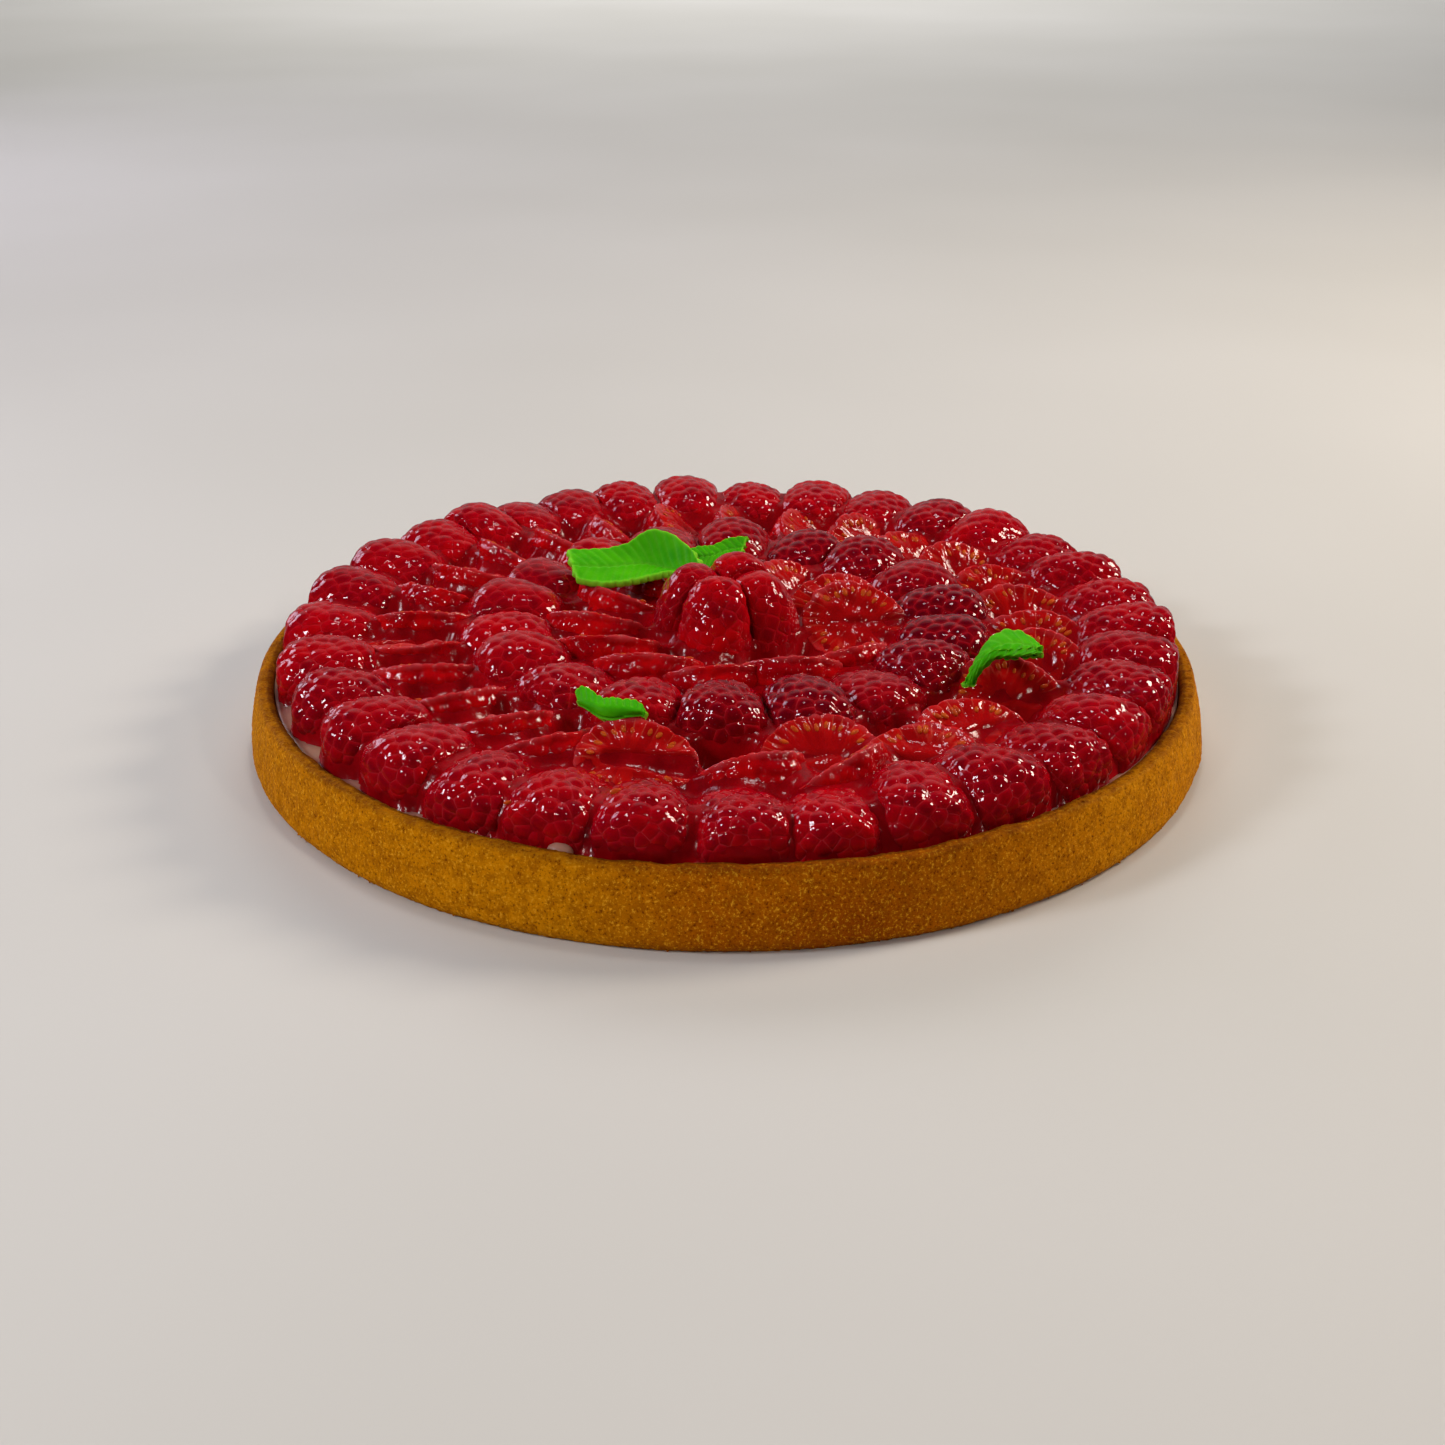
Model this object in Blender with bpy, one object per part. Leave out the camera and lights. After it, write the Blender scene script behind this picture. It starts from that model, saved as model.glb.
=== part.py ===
"""A raspberry tart: a round shortcrust case, the pastry cream that fills it, rings of whole and
halved raspberries on the cream, and four sugar leaves on the fruit.

Metres, +Z up. The origin is under the middle of the case, on its flat underside. Every fruit is
shaped in a frame of its own, turned about the tart's axis: +X points outwards, +Y follows the
ring counter-clockwise, and the ring's place is its distance along X.
"""

import math

import bmesh
import bpy
from mathutils import Matrix, Vector
from mathutils.bvhtree import BVHTree

MM = 0.001

# Case
RIM_RADIUS = 120 * MM  # outer edge of the rim
RIM_HEIGHT = 19 * MM
WALL_THICKNESS = 4 * MM
FLOOR_THICKNESS = 4 * MM
BELLY = 3.2 * MM  # how far the wall stands out near its foot
RIM_UNEVENNESS = 0.45 * MM
CASE_SEGMENTS = 56

# Cream
CREAM_TOP = 16.4 * MM  # along the wall and under the outer ring
PRESSED_TOP = 13.2 * MM  # where the inner fruit is pressed in
CREAM_SEGMENTS = 32

# Every two pieces that touch keep this much air
GAP = 0.3 * MM

# Fruit, in the bands that share the tart's radius
BAND_EDGES = [0.0, 21 * MM, 45 * MM, 68 * MM, 91.6 * MM, 115.9 * MM]
SHRINK_TO_TIP = 0.13  # a berry is slimmer at its tip by this share
KNOBBLE = 0.035  # drupelets push the outline in and out by this share
BERRY_SIDES = 8
BERRY_STEPS = 6
SHORTEST_EDGE = 2.3 * MM  # a cut leaves no finer facets than this

OUTER_BERRIES = {
    "ring": 1, "band": 4, "count": 33, "first_deg": -88.6, "radius": 103.6 * MM,
    "length": 25.5 * MM, "width": 21 * MM, "height": 18.5 * MM, "middle": 21.3 * MM,
    "tilt_deg": 0, "skew_deg": 9,
}
OUTER_HALVES = {
    "ring": 2, "band": 3, "count": 28, "first_deg": -94.8, "radius": 79.6 * MM,
    "length": 25 * MM, "width": 22.5 * MM, "press": 2.6 * MM, "middle": 21.9 * MM,
    "lean_deg": 50, "lean_spread_deg": 6, "skew_deg": 5,
}
INNER_BERRIES = {
    "ring": 3, "band": 2, "count": 18, "first_deg": -92.0, "radius": 56.6 * MM,
    "length": 24.5 * MM, "width": 23.5 * MM, "height": 19 * MM, "middle": 22.6 * MM,
    "tilt_deg": 0, "skew_deg": 6,
}
INNER_HALVES = {
    "ring": 4, "band": 1, "count": 12, "first_deg": -94.0, "radius": 33.2 * MM,
    "length": 25 * MM, "width": 24 * MM, "press": 2.6 * MM, "middle": 23.4 * MM,
    "lean_deg": 47, "lean_spread_deg": 6, "skew_deg": 5,
}
CENTRE_BERRIES = {
    "ring": 5, "band": 0, "count": 4, "first_deg": -110, "radius": 9.8 * MM,
    "length": 27 * MM, "width": 20.5 * MM, "height": 19.5 * MM, "middle": 28.5 * MM,
    "tilt_deg": 76, "skew_deg": 0,
}

# The fruit at the back left stands closer together: there each place in the outer ring turns
# clockwise by up to this angle, fading out over the width
CROWDING = {"at_deg": 158, "turn_deg": 10, "width_deg": 34}

# Pieces joined into one body each: whole berries and halves that stick together in a row
HALVES_IN_OUTER_ROW = 4
BERRIES_IN_INNER_ROW = 3
HALVES_IN_INNER_ROW = 3

# Sugar leaves. A leaf is shaped flat along X, then bent, turned and laid on the fruit
LEAF_THICKNESS = 1.9 * MM
SETTLE_STEP = 0.1 * MM
LEAVES = {
    "leaf_large": {
        "length": 38 * MM, "width": 27 * MM, "arch": 0.5 * MM, "cup": -1.5 * MM, "lift": 6 * MM,
        "heading_deg": 17, "pitch_deg": 0, "roll_deg": 0, "place": (-27 * MM, 27 * MM, 36.6 * MM),
    },
    "leaf_small": {
        "length": 17 * MM, "width": 13 * MM, "arch": 0.0, "cup": 2.0 * MM, "lift": 3 * MM,
        "heading_deg": 24, "pitch_deg": 10, "roll_deg": 0, "place": (2 * MM, 39.5 * MM, 38.6 * MM),
    },
    "leaf_right": {
        "length": 28 * MM, "width": 15 * MM, "arch": 6.5 * MM, "cup": -2.0 * MM, "lift": 0.0,
        "heading_deg": 40, "pitch_deg": 4, "roll_deg": -12, "place": (66 * MM, -40 * MM, 35.6 * MM),
    },
    "leaf_left": {
        "length": 19 * MM, "width": 13 * MM, "arch": -1.5 * MM, "cup": 3.0 * MM, "lift": 0.0,
        "heading_deg": -24, "pitch_deg": 3, "roll_deg": 32, "place": (-27 * MM, -66 * MM, 36.2 * MM),
    },
}


def wobble(ring, index, channel):
    """A fixed number from -1 to 1 that looks random: one for each fruit and each use."""
    value = math.sin(12.9898 * ring + 78.233 * index + 37.719 * channel) * 43758.5453
    return 2 * (value - math.floor(value)) - 1


def clear_scene():
    for leftover in list(bpy.data.objects):
        bpy.data.objects.remove(leftover)


def make_material(name, colour, roughness):
    material = bpy.data.materials.new(name)
    material.use_nodes = True
    surface = material.node_tree.nodes["Principled BSDF"]
    surface.inputs["Base Color"].default_value = (*colour, 1.0)
    surface.inputs["Roughness"].default_value = roughness
    surface.inputs["Metallic"].default_value = 0.0
    return material


def add_object(name, shape, material, turn=0.0):
    """Puts a finished shape in the scene, turned about the tart's axis."""
    mesh = bpy.data.meshes.new(name)
    shape.to_mesh(mesh)
    shape.free()
    mesh.shade_smooth()
    mesh.set_sharp_from_angle(angle=math.radians(50))
    mesh.materials.append(material)
    piece = bpy.data.objects.new(name, mesh)
    piece.rotation_euler.z = turn
    bpy.context.scene.collection.objects.link(piece)
    return piece


def turned_profile(points, segments):
    """Spins (radius, height) points about Z. The first and last lie on the axis."""
    shape = bmesh.new()
    verts = [shape.verts.new((radius, 0, height)) for radius, height in points]
    edges = [shape.edges.new(pair) for pair in zip(verts, verts[1:])]
    bmesh.ops.spin(
        shape, geom=verts + edges, cent=(0, 0, 0), axis=(0, 0, 1),
        angle=math.tau, steps=segments, use_merge=True,
    )
    bmesh.ops.remove_doubles(shape, verts=shape.verts[:], dist=1e-6)
    bmesh.ops.recalc_face_normals(shape, faces=shape.faces[:])
    return shape


def slice_off(shape, point, outward):
    """Removes what lies beyond a plane and closes the cut with a flat face."""
    everything = shape.verts[:] + shape.edges[:] + shape.faces[:]
    cut = bmesh.ops.bisect_plane(
        shape, geom=everything, dist=1e-6, plane_co=point, plane_no=outward, clear_outer=True,
    )
    rim = [part for part in cut["geom_cut"] if isinstance(part, bmesh.types.BMEdge)]
    if rim:
        bmesh.ops.contextual_create(shape, geom=rim)


def add_case(material):
    """The shortcrust case: a floor, and a wall that bellies out near its foot."""
    inner = RIM_RADIUS - WALL_THICKNESS
    profile = [
        (0, 0),
        (RIM_RADIUS + 0.55 * BELLY, 0),
        (RIM_RADIUS + BELLY, 0.12 * RIM_HEIGHT),
        (RIM_RADIUS + 0.72 * BELLY, 0.42 * RIM_HEIGHT),
        (RIM_RADIUS + 0.1 * BELLY, 0.92 * RIM_HEIGHT),
        (RIM_RADIUS - 0.2 * WALL_THICKNESS, RIM_HEIGHT),
        (inner + 0.2 * WALL_THICKNESS, RIM_HEIGHT),
        (inner, 0.95 * RIM_HEIGHT),
        (inner, FLOOR_THICKNESS),
        (0, FLOOR_THICKNESS),
    ]
    shape = turned_profile(profile, CASE_SEGMENTS)
    for vert in shape.verts:
        angle = math.atan2(vert.co.y, vert.co.x)
        # Even waves, so that opposite sides match and the case stays centred
        wave = 0.5 * math.sin(2 * angle + 0.6) + 0.3 * math.sin(6 * angle) + 0.2 * math.sin(14 * angle)
        if vert.co.z > 0.9 * RIM_HEIGHT:
            vert.co.z += RIM_UNEVENNESS * (wave - 1) * 0.5
        if vert.co.xy.length > RIM_RADIUS:
            vert.co.xy *= 1 + 0.5 * RIM_UNEVENNESS * (wave - 1) / RIM_RADIUS
    return add_object("crust", shape, material)


def add_cream(material):
    """The pastry cream, which fills the case to just under its rim."""
    radius = RIM_RADIUS - WALL_THICKNESS - GAP
    bottom = FLOOR_THICKNESS + GAP
    shelf = BAND_EDGES[OUTER_BERRIES["band"]]
    profile = [
        (0, bottom),
        (radius, bottom),
        (radius, CREAM_TOP),
        (shelf, CREAM_TOP),
        (shelf, PRESSED_TOP),
        (0, PRESSED_TOP),
    ]
    return add_object("cream", turned_profile(profile, CREAM_SEGMENTS), material)


def crowded(angle):
    """The angle of a place in the outer ring once the back left is crowded together."""
    away = (math.degrees(angle) - CROWDING["at_deg"]) % 360
    away = min(away, 360 - away) / CROWDING["width_deg"]
    return angle - math.radians(CROWDING["turn_deg"]) * math.exp(-away * away)


def angle_of(fruit, index):
    """Where a fruit stands in its ring. Neighbours past either end of the count work too."""
    step = math.tau / fruit["count"]
    angle = math.radians(fruit["first_deg"]) + index * step
    if fruit is OUTER_BERRIES:
        angle = crowded(angle)
    return angle + 0.06 * step * wobble(fruit["ring"], index % fruit["count"], 1)


def trim_to_place(shape, fruit, index, close_before, close_after):
    """Cuts a fruit off at the cream, at its band's edges and half-way to its neighbours."""
    inner = BAND_EDGES[fruit["band"]] + 0.5 * GAP
    corner = 0.36 * fruit["width"]
    outer = math.sqrt(BAND_EDGES[fruit["band"] + 1] ** 2 - corner**2) - 0.5 * GAP
    cream = CREAM_TOP if fruit is OUTER_BERRIES else PRESSED_TOP
    slice_off(shape, (0, 0, cream + GAP), (0, 0, -1))
    slice_off(shape, (outer, 0, 0), (1, 0, 0))
    if inner > GAP:
        slice_off(shape, (inner, 0, 0), (-1, 0, 0))
    here = angle_of(fruit, index)
    for step, wanted in ((-1, close_before), (1, close_after)):
        if wanted:
            half = 0.5 * abs((angle_of(fruit, index + step) - here + math.pi) % math.tau - math.pi)
            outward = Vector((-math.sin(half), step * math.cos(half), 0))
            slice_off(shape, -0.5 * GAP * outward, outward)
    bmesh.ops.remove_doubles(shape, verts=shape.verts[:], dist=SHORTEST_EDGE)
    bmesh.ops.triangulate(shape, faces=shape.faces[:])


def knobbly_ovoid(fruit, index, reach):
    """A raspberry's outline round its long axis X, blunt at the stem (+X) and slimmer at its tip."""
    shape = bmesh.new()
    bmesh.ops.create_uvsphere(
        shape, u_segments=BERRY_SIDES, v_segments=BERRY_STEPS, radius=1.0,
        matrix=Matrix.Rotation(math.pi / 2, 4, "Y"),
    )
    for number, vert in enumerate(shape.verts):
        along = vert.co.x
        girth = 1 + SHRINK_TO_TIP * (along - 0.35 * along * along)
        girth *= 1 + KNOBBLE * wobble(fruit["ring"], index, 10 + number)
        vert.co.x *= reach[0]
        vert.co.y *= reach[1] * girth
        vert.co.z *= reach[2] * girth
    return shape


def whole_berry(fruit, index, close_before=True, close_after=True):
    """A whole raspberry on its side, or upright when tilted, with its tip to the middle."""
    ring = fruit["ring"]
    size = 0.5 * (1 + 0.035 * wobble(ring, index, 2))
    reach = (size * fruit["length"], 0.5 * fruit["width"], size * fruit["height"])
    shape = knobbly_ovoid(fruit, index, reach)
    skew = math.radians(fruit["skew_deg"]) * wobble(ring, index, 3)
    tilt = math.radians(fruit["tilt_deg"] + 5 * wobble(ring, index, 4))
    lift = 0.9 * MM * wobble(ring, index, 5)
    place = (
        Matrix.Translation((fruit["radius"], 0, fruit["middle"] + lift))
        @ Matrix.Rotation(skew, 4, "Z")
        @ Matrix.Rotation(tilt, 4, "Y")
    )
    bmesh.ops.transform(shape, matrix=place, verts=shape.verts[:])
    trim_to_place(shape, fruit, index, close_before, close_after)
    return shape


def cut_plane(fruit, index, ahead=0):
    """A half's cut face: a point on it and the way it faces, up and clockwise.

    It is given in the frame of the half that stands so many places before this one.
    """
    here = (index + ahead) % fruit["count"]
    lean = fruit["lean_deg"] + fruit["lean_spread_deg"] * wobble(fruit["ring"], here, 4)
    lean = math.radians(lean)
    turn = Matrix.Rotation(angle_of(fruit, index + ahead) - angle_of(fruit, index), 3, "Z")
    point = turn @ Vector((fruit["radius"], 0, fruit["middle"]))
    return point, turn @ Vector((0, -math.cos(lean), math.sin(lean)))


def half_berry(fruit, index, close_after):
    """A raspberry cut lengthwise. Its round back leans on the cut face of the next half."""
    ring = fruit["ring"]
    centre, facing = cut_plane(fruit, index)
    point, next_facing = cut_plane(fruit, index, 1)
    depth = (point - centre).dot(next_facing) / -facing.dot(next_facing) + fruit["press"]
    shape = knobbly_ovoid(fruit, index, (0.5 * fruit["length"], depth, 0.5 * fruit["width"]))
    slice_off(shape, (0, 0, 0), (0, -1, 0))
    skew = math.radians(fruit["skew_deg"]) * wobble(ring, index, 3)
    lean = math.atan2(facing.z, -facing.y)
    place = (
        Matrix.Translation(centre) @ Matrix.Rotation(-lean, 4, "X") @ Matrix.Rotation(skew, 4, "Y")
    )
    bmesh.ops.transform(shape, matrix=place, verts=shape.verts[:])
    if close_after:
        slice_off(shape, point + GAP * next_facing, -next_facing)
    trim_to_place(shape, fruit, index, False, False)
    return shape


def add_singles(name, fruit, material):
    """One object for each whole berry of a ring."""
    berries = []
    for index in range(fruit["count"]):
        shape = whole_berry(fruit, index)
        label = f"{name}_{index + 1:02d}"
        berries.append(add_object(label, shape, material, angle_of(fruit, index)))
    return berries


def add_rows(name, fruit, row_length, shaper, material):
    """A ring of fruit that touches, joined into rows of a few with a gap between rows."""
    ring = []
    for row in range(fruit["count"] // row_length):
        members = []
        for place in range(row_length):
            index = row * row_length + place
            first, last = place == 0, place == row_length - 1
            shape = shaper(fruit, index, first, last)
            label = f"{name}_{row + 1}" if first else f"{name}_{row + 1}_part_{place + 1}"
            members.append(add_object(label, shape, material, angle_of(fruit, index)))
        for number, part in enumerate(members[1:], 2):
            part.hide_render = True
            part.display_type = "WIRE"
            joined = members[0].modifiers.new(f"Join part {number}", "BOOLEAN")
            joined.operation = "UNION"
            joined.solver = "EXACT"
            joined.object = part
        ring += members
    return ring


def half_in_row(fruit, index, _first, last):
    return half_berry(fruit, index, last)


def leaf_outline(along):
    """Half the leaf's width, as a share, at a share of its length: blunt at the stalk end."""
    return math.sin(math.pi * min(1, along * 0.86 + 0.1)) ** 0.7


def world_triangles(pieces):
    """Points and faces of these objects' meshes, in the tart's frame."""
    points, faces = [], []
    for piece in pieces:
        start = len(points)
        points += [piece.matrix_world @ vert.co for vert in piece.data.vertices]
        faces += [[start + corner for corner in face.vertices] for face in piece.data.polygons]
    return points, faces


def settle(leaf, fruit):
    """Lowers a leaf in small steps to just above where it would touch the fruit under it."""
    bpy.context.view_layer.update()
    fruit_tree = BVHTree.FromPolygons(*world_triangles(fruit))
    points, faces = world_triangles([leaf.evaluated_get(bpy.context.evaluated_depsgraph_get())])
    drop = 0.0
    while not BVHTree.FromPolygons([point - Vector((0, 0, drop)) for point in points], faces).overlap(
        fruit_tree
    ):
        drop += SETTLE_STEP
    leaf.location.z -= drop - SETTLE_STEP - GAP


def add_leaf(name, leaf, material, fruit):
    """A sugar leaf: a flat outline, arched along its length and cupped across, with thickness."""
    rows, columns = 8, 4
    shape = bmesh.new()
    bmesh.ops.create_grid(shape, x_segments=rows, y_segments=columns, size=1.0)
    for vert in shape.verts:
        along, across = (vert.co.x + 1) / 2, vert.co.y
        tooth = 1 + 0.06 * math.cos(rows * math.pi * along) * abs(across)
        half_width = 0.5 * leaf["width"] * leaf_outline(along) * tooth
        arch = leaf["arch"] * (1 - (2 * along - 1) ** 2)
        cup = leaf["cup"] * across * across
        lobe = leaf["lift"] * max(0, across) ** 1.5 * max(0, along - 0.3) * 1.4
        vert.co = ((along - 0.5) * leaf["length"], across * half_width, arch + cup + lobe)
    piece = add_object(name, shape, material)
    piece.location = leaf["place"]
    piece.rotation_euler = [math.radians(leaf[key]) for key in ("roll_deg", "pitch_deg", "heading_deg")]
    thickness = piece.modifiers.new("Thickness", "SOLIDIFY")
    thickness.thickness = LEAF_THICKNESS
    thickness.offset = 0
    settle(piece, fruit)


def main():
    clear_scene()
    baked = make_material("baked shortcrust", (0.46, 0.22, 0.05), 0.75)
    custard = make_material("pastry cream", (0.60, 0.40, 0.30), 0.4)
    berry = make_material("glazed raspberry", (0.38, 0.01, 0.02), 0.2)
    cut_berry = make_material("glazed cut raspberry", (0.55, 0.03, 0.02), 0.2)
    sugar = make_material("green sugar paste", (0.09, 0.45, 0.02), 0.5)

    add_case(baked)
    add_cream(custard)
    fruit = add_singles("outer_berry", OUTER_BERRIES, berry)
    fruit += add_rows("outer_halves", OUTER_HALVES, HALVES_IN_OUTER_ROW, half_in_row, cut_berry)
    fruit += add_rows("inner_berries", INNER_BERRIES, BERRIES_IN_INNER_ROW, whole_berry, berry)
    fruit += add_rows("inner_halves", INNER_HALVES, HALVES_IN_INNER_ROW, half_in_row, cut_berry)
    fruit += add_singles("centre_berry", CENTRE_BERRIES, berry)
    for name, leaf in LEAVES.items():
        add_leaf(name, leaf, sugar, fruit)


main()
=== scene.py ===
import math
from functools import partial

import bmesh
import bpy
import numpy as np
from mathutils import Matrix, Vector, noise


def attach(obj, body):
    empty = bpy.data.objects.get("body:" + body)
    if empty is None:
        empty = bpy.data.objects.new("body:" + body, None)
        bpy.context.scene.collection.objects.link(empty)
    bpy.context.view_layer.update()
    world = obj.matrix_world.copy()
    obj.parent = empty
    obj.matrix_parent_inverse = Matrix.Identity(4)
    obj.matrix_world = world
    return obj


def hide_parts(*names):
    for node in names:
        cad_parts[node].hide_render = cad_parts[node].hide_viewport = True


# A glazed raspberry tart. The pieces are worked out in millimetres in the tart's own frame and
# made metres when their meshes are written.
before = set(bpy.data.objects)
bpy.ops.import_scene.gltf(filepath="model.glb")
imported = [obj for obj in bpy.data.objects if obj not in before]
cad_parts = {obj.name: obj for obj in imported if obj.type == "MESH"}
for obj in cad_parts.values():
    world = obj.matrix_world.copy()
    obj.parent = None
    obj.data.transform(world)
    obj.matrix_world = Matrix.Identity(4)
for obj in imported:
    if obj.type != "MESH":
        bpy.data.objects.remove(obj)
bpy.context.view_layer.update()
mm = 0.001
print("tart: frame loaded,", len(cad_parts), "nodes")


def linear(code):
    # sRGB hex to the linear colour that shaders take
    parts = [int(code[place:place + 2], 16) / 255 for place in (1, 3, 5)]
    bright = [((part + 0.055) / 1.055) ** 2.4 for part in parts]
    return [part / 12.92 if part <= 0.04045 else light for part, light in zip(parts, bright)] + [1.0]


def addNode(tree, kind, settings=None, links=None):
    # a node with its properties or fixed inputs, and what feeds its other inputs, or its first one.
    # Gives its outputs
    node = tree.nodes.new("ShaderNode" + kind)
    for name, value in (settings or {}).items():
        if name == "stops":
            band = node.color_ramp.elements
            while len(band) < len(value):
                band.new(1.0)
            for element, (place, shade) in zip(band, value):
                element.position = place
                element.color = linear(shade) if isinstance(shade, str) else (shade, shade, shade, 1)
        elif isinstance(name, str) and hasattr(node, name):
            setattr(node, name, value)
        else:
            node.inputs[name].default_value = linear(value) if isinstance(value, str) else value
    if links and not isinstance(links, dict):
        links = {0: links}
    for name, source in (links or {}).items():
        tree.links.new(source, node.inputs[name])
    return node.outputs


def startMaterial(name, settings, mottle):
    # a material with its fixed inputs and a mottled colour: patches to a metre, their detail, and the
    # shades that they run between. Gives the material, what adds its nodes, the place on the piece
    # and the mottled colour
    material = bpy.data.materials.new(name)
    material.use_nodes = True
    for key, value in settings.items():
        material.node_tree.nodes["Principled BSDF"].inputs[key].default_value = value
    add = partial(addNode, material.node_tree)
    place = add("TexCoord")["Object"]
    scale, detail, *stops = mottle
    patches = add("TexNoise", {"Scale": scale, "Detail": detail}, place)[0]
    colour = add("ValToRGB", {"stops": stops}, patches)[0]
    return finishMaterial(material, {"Base Color": colour}), add, place, colour


def finishMaterial(material, sources):
    # what feeds the shader's inputs
    tree = material.node_tree
    for name, source in sources.items():
        tree.links.new(source, tree.nodes["Principled BSDF"].inputs[name])
    return material


def meshOf(shape, name):
    # the bmesh ends here
    mesh = bpy.data.meshes.new(name)
    shape.to_mesh(mesh)
    shape.free()
    return mesh


def pointsOf(mesh):
    points = np.zeros(len(mesh.vertices) * 3)
    mesh.vertices.foreach_get("co", points)
    return points.reshape(-1, 3)


def writeShape(mesh, points):
    # points in millimetres
    mesh.vertices.foreach_set("co", (points * mm).ravel())


def turnBy(degrees, axis):
    return Matrix.Rotation(math.radians(degrees), 4, axis)


def wobble(ring, index, channel):
    # a fixed number from -1 to 1 that looks random, the same one that the solid fruit stands by
    value = math.sin(12.9898 * ring + 78.233 * index + 37.719 * channel) * 43758.5453
    return 2 * (value - math.floor(value)) - 1


def addObject(name, data):
    thing = bpy.data.objects.new(name, data)
    bpy.context.scene.collection.objects.link(thing)
    return thing


def addPiece(name, mesh, material, nodes=()):
    # a finished mesh in metres, at the origin, riding on the tart
    mesh.materials.append(material)
    mesh.shade_smooth()
    piece = addObject(name, mesh)
    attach(piece, "root")
    if nodes:
        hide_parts(*nodes)
    return piece


# Raspberries. Rings of whole ones on their side, rings of halves that lean on each other like roof
# tiles, and a few upright in the middle
outerBerries = {
    "ring": 1, "count": 33, "firstDeg": -88.6, "radius": 103.2, "length": 26.6, "width": 24.0,
    "height": 18.5, "middle": 21.3, "tiltDeg": 0, "skewDeg": 17, "band": (89.9, 115.3),
    "drupelets": 150, "cutAt": 15.4, "nodes": "outer_berry_{:02d}", "row": 1, "ripeness": 0.35,
    "riperRight": 0.0, "frontSink": 2.4, "rise": 0.38, "riseFront": 0.2,
    "loose": {"atDeg": -148, "widthDeg": 26, "turnDeg": -14, "inwards": 2.8},  # at the front left
}
outerHalves = {
    "ring": 2, "count": 28, "firstDeg": -94.8, "radius": 79.6, "length": 28.5, "width": 22.5,
    "middle": 21.9, "leanDeg": 50, "leanSpreadDeg": 6, "skewDeg": 8, "band": (65.6, 94.0),
    "cutAt": 14.0, "nodes": "outer_halves_{}", "row": 4,
}
innerBerries = {
    "ring": 3, "count": 18, "firstDeg": -92.0, "radius": 56.6, "length": 25.5, "width": 23.9,
    "height": 19, "middle": 22.6, "tiltDeg": 0, "skewDeg": 9, "band": (44.0, 69.2),
    "drupelets": 140, "cutAt": 14.0, "nodes": "inner_berries_{}", "row": 3, "ripeness": 0.6,
    "riperRight": 0.25, "frontSink": 0, "rise": 0.36, "riseFront": 0.16,
}
innerHalves = {
    "ring": 4, "count": 12, "firstDeg": -94.0, "radius": 33.4, "length": 28, "width": 24,
    "middle": 23.4, "leanDeg": 47, "leanSpreadDeg": 6, "skewDeg": 8, "band": (19.2, 46.8),
    "cutAt": 14.0, "nodes": "inner_halves_{}", "row": 3,
}
centreBerries = {
    "ring": 5, "count": 4, "firstDeg": -110, "radius": 9.8, "length": 27, "width": 20.5,
    "height": 19, "middle": 27.6, "tiltDeg": 76, "skewDeg": 0, "band": (0, 21.6),
    "drupelets": 120, "cutAt": 14.0, "nodes": "centre_berry_{:02d}", "row": 1, "ripeness": 0.25,
    "riperRight": 0.0, "frontSink": 0, "rise": 0.27, "riseFront": 0,
}
crowding = {"atDeg": 158, "turnDeg": 10, "widthDeg": 34}  # the outer ring is tighter at the back left
scatter = {  # how much single ones differ from the rest of their ring
    "step": 0.06, "length": 0.035, "middle": 1.2, "tiltDeg": 5, "turnDeg": 9, "ripeness": 0.22,
}
press = {  # how softly fruit gives way, and the gaps it keeps to the next, in millimetres
    "berries": 1.3, "ring": 1.2, "tiles": 0.8, "berryGap": 0.03, "tileGap": 0.3,
}
drupelet = {
    "inset": 0.2,  # of the outline, to leave room for the relief
    "curve": 1.9,  # radius of the dome of one drupelet
    "fill": 0.26,  # how softly the glaze fills the creases between them
    "lift": 0.35,  # of all the relief over the outline
    "riseSpread": 0.12,  # of the share of the full relief that the glaze leaves
    "lessLeft": 0.14,  # how much less relief it leaves at the left
    "shrinkToTip": 0.13, "lumps": 0.025,
    "fullness": 2.75,  # 2 is an egg, more is blunter
}
half = {
    "inset": 0.3, "fullness": 2.35, "backRise": 0.6,
    "around": 28,  # drupelets that are cut through, and how they stand out of the cut
    "sectionRise": 0.26, "sectionWidth": 1.8, "sectionSpread": 0.3,
    "faceBulge": 0.3, "faceLumps": 0.16, "lumpLength": 7, "rimWidth": 2.5,
    "wallThick": 6.4,  # cut drupelets from skin to core
    "coreTip": 0.9, "coreStem": 2.3,  # radius of the hollow core at its two ends
    "coreDip": 0.4, "coreDipWide": 0.8, "coreSlope": 2.6,  # how it dips, in shares of that radius
    "seedDepth": (2.5, 4.0), "seedGaps": 0.3,  # seeds in from the skin, and the share without one
    "seedSunk": -0.3,  # a seed's middle from the flat cut
    "overlap": 0.9,  # how far one goes past the cut face of the next, that it rests on
    "roam": (3, 6),  # how far strays may stand in and out of their ring's band
    "ripeness": 0.15,
}
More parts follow.
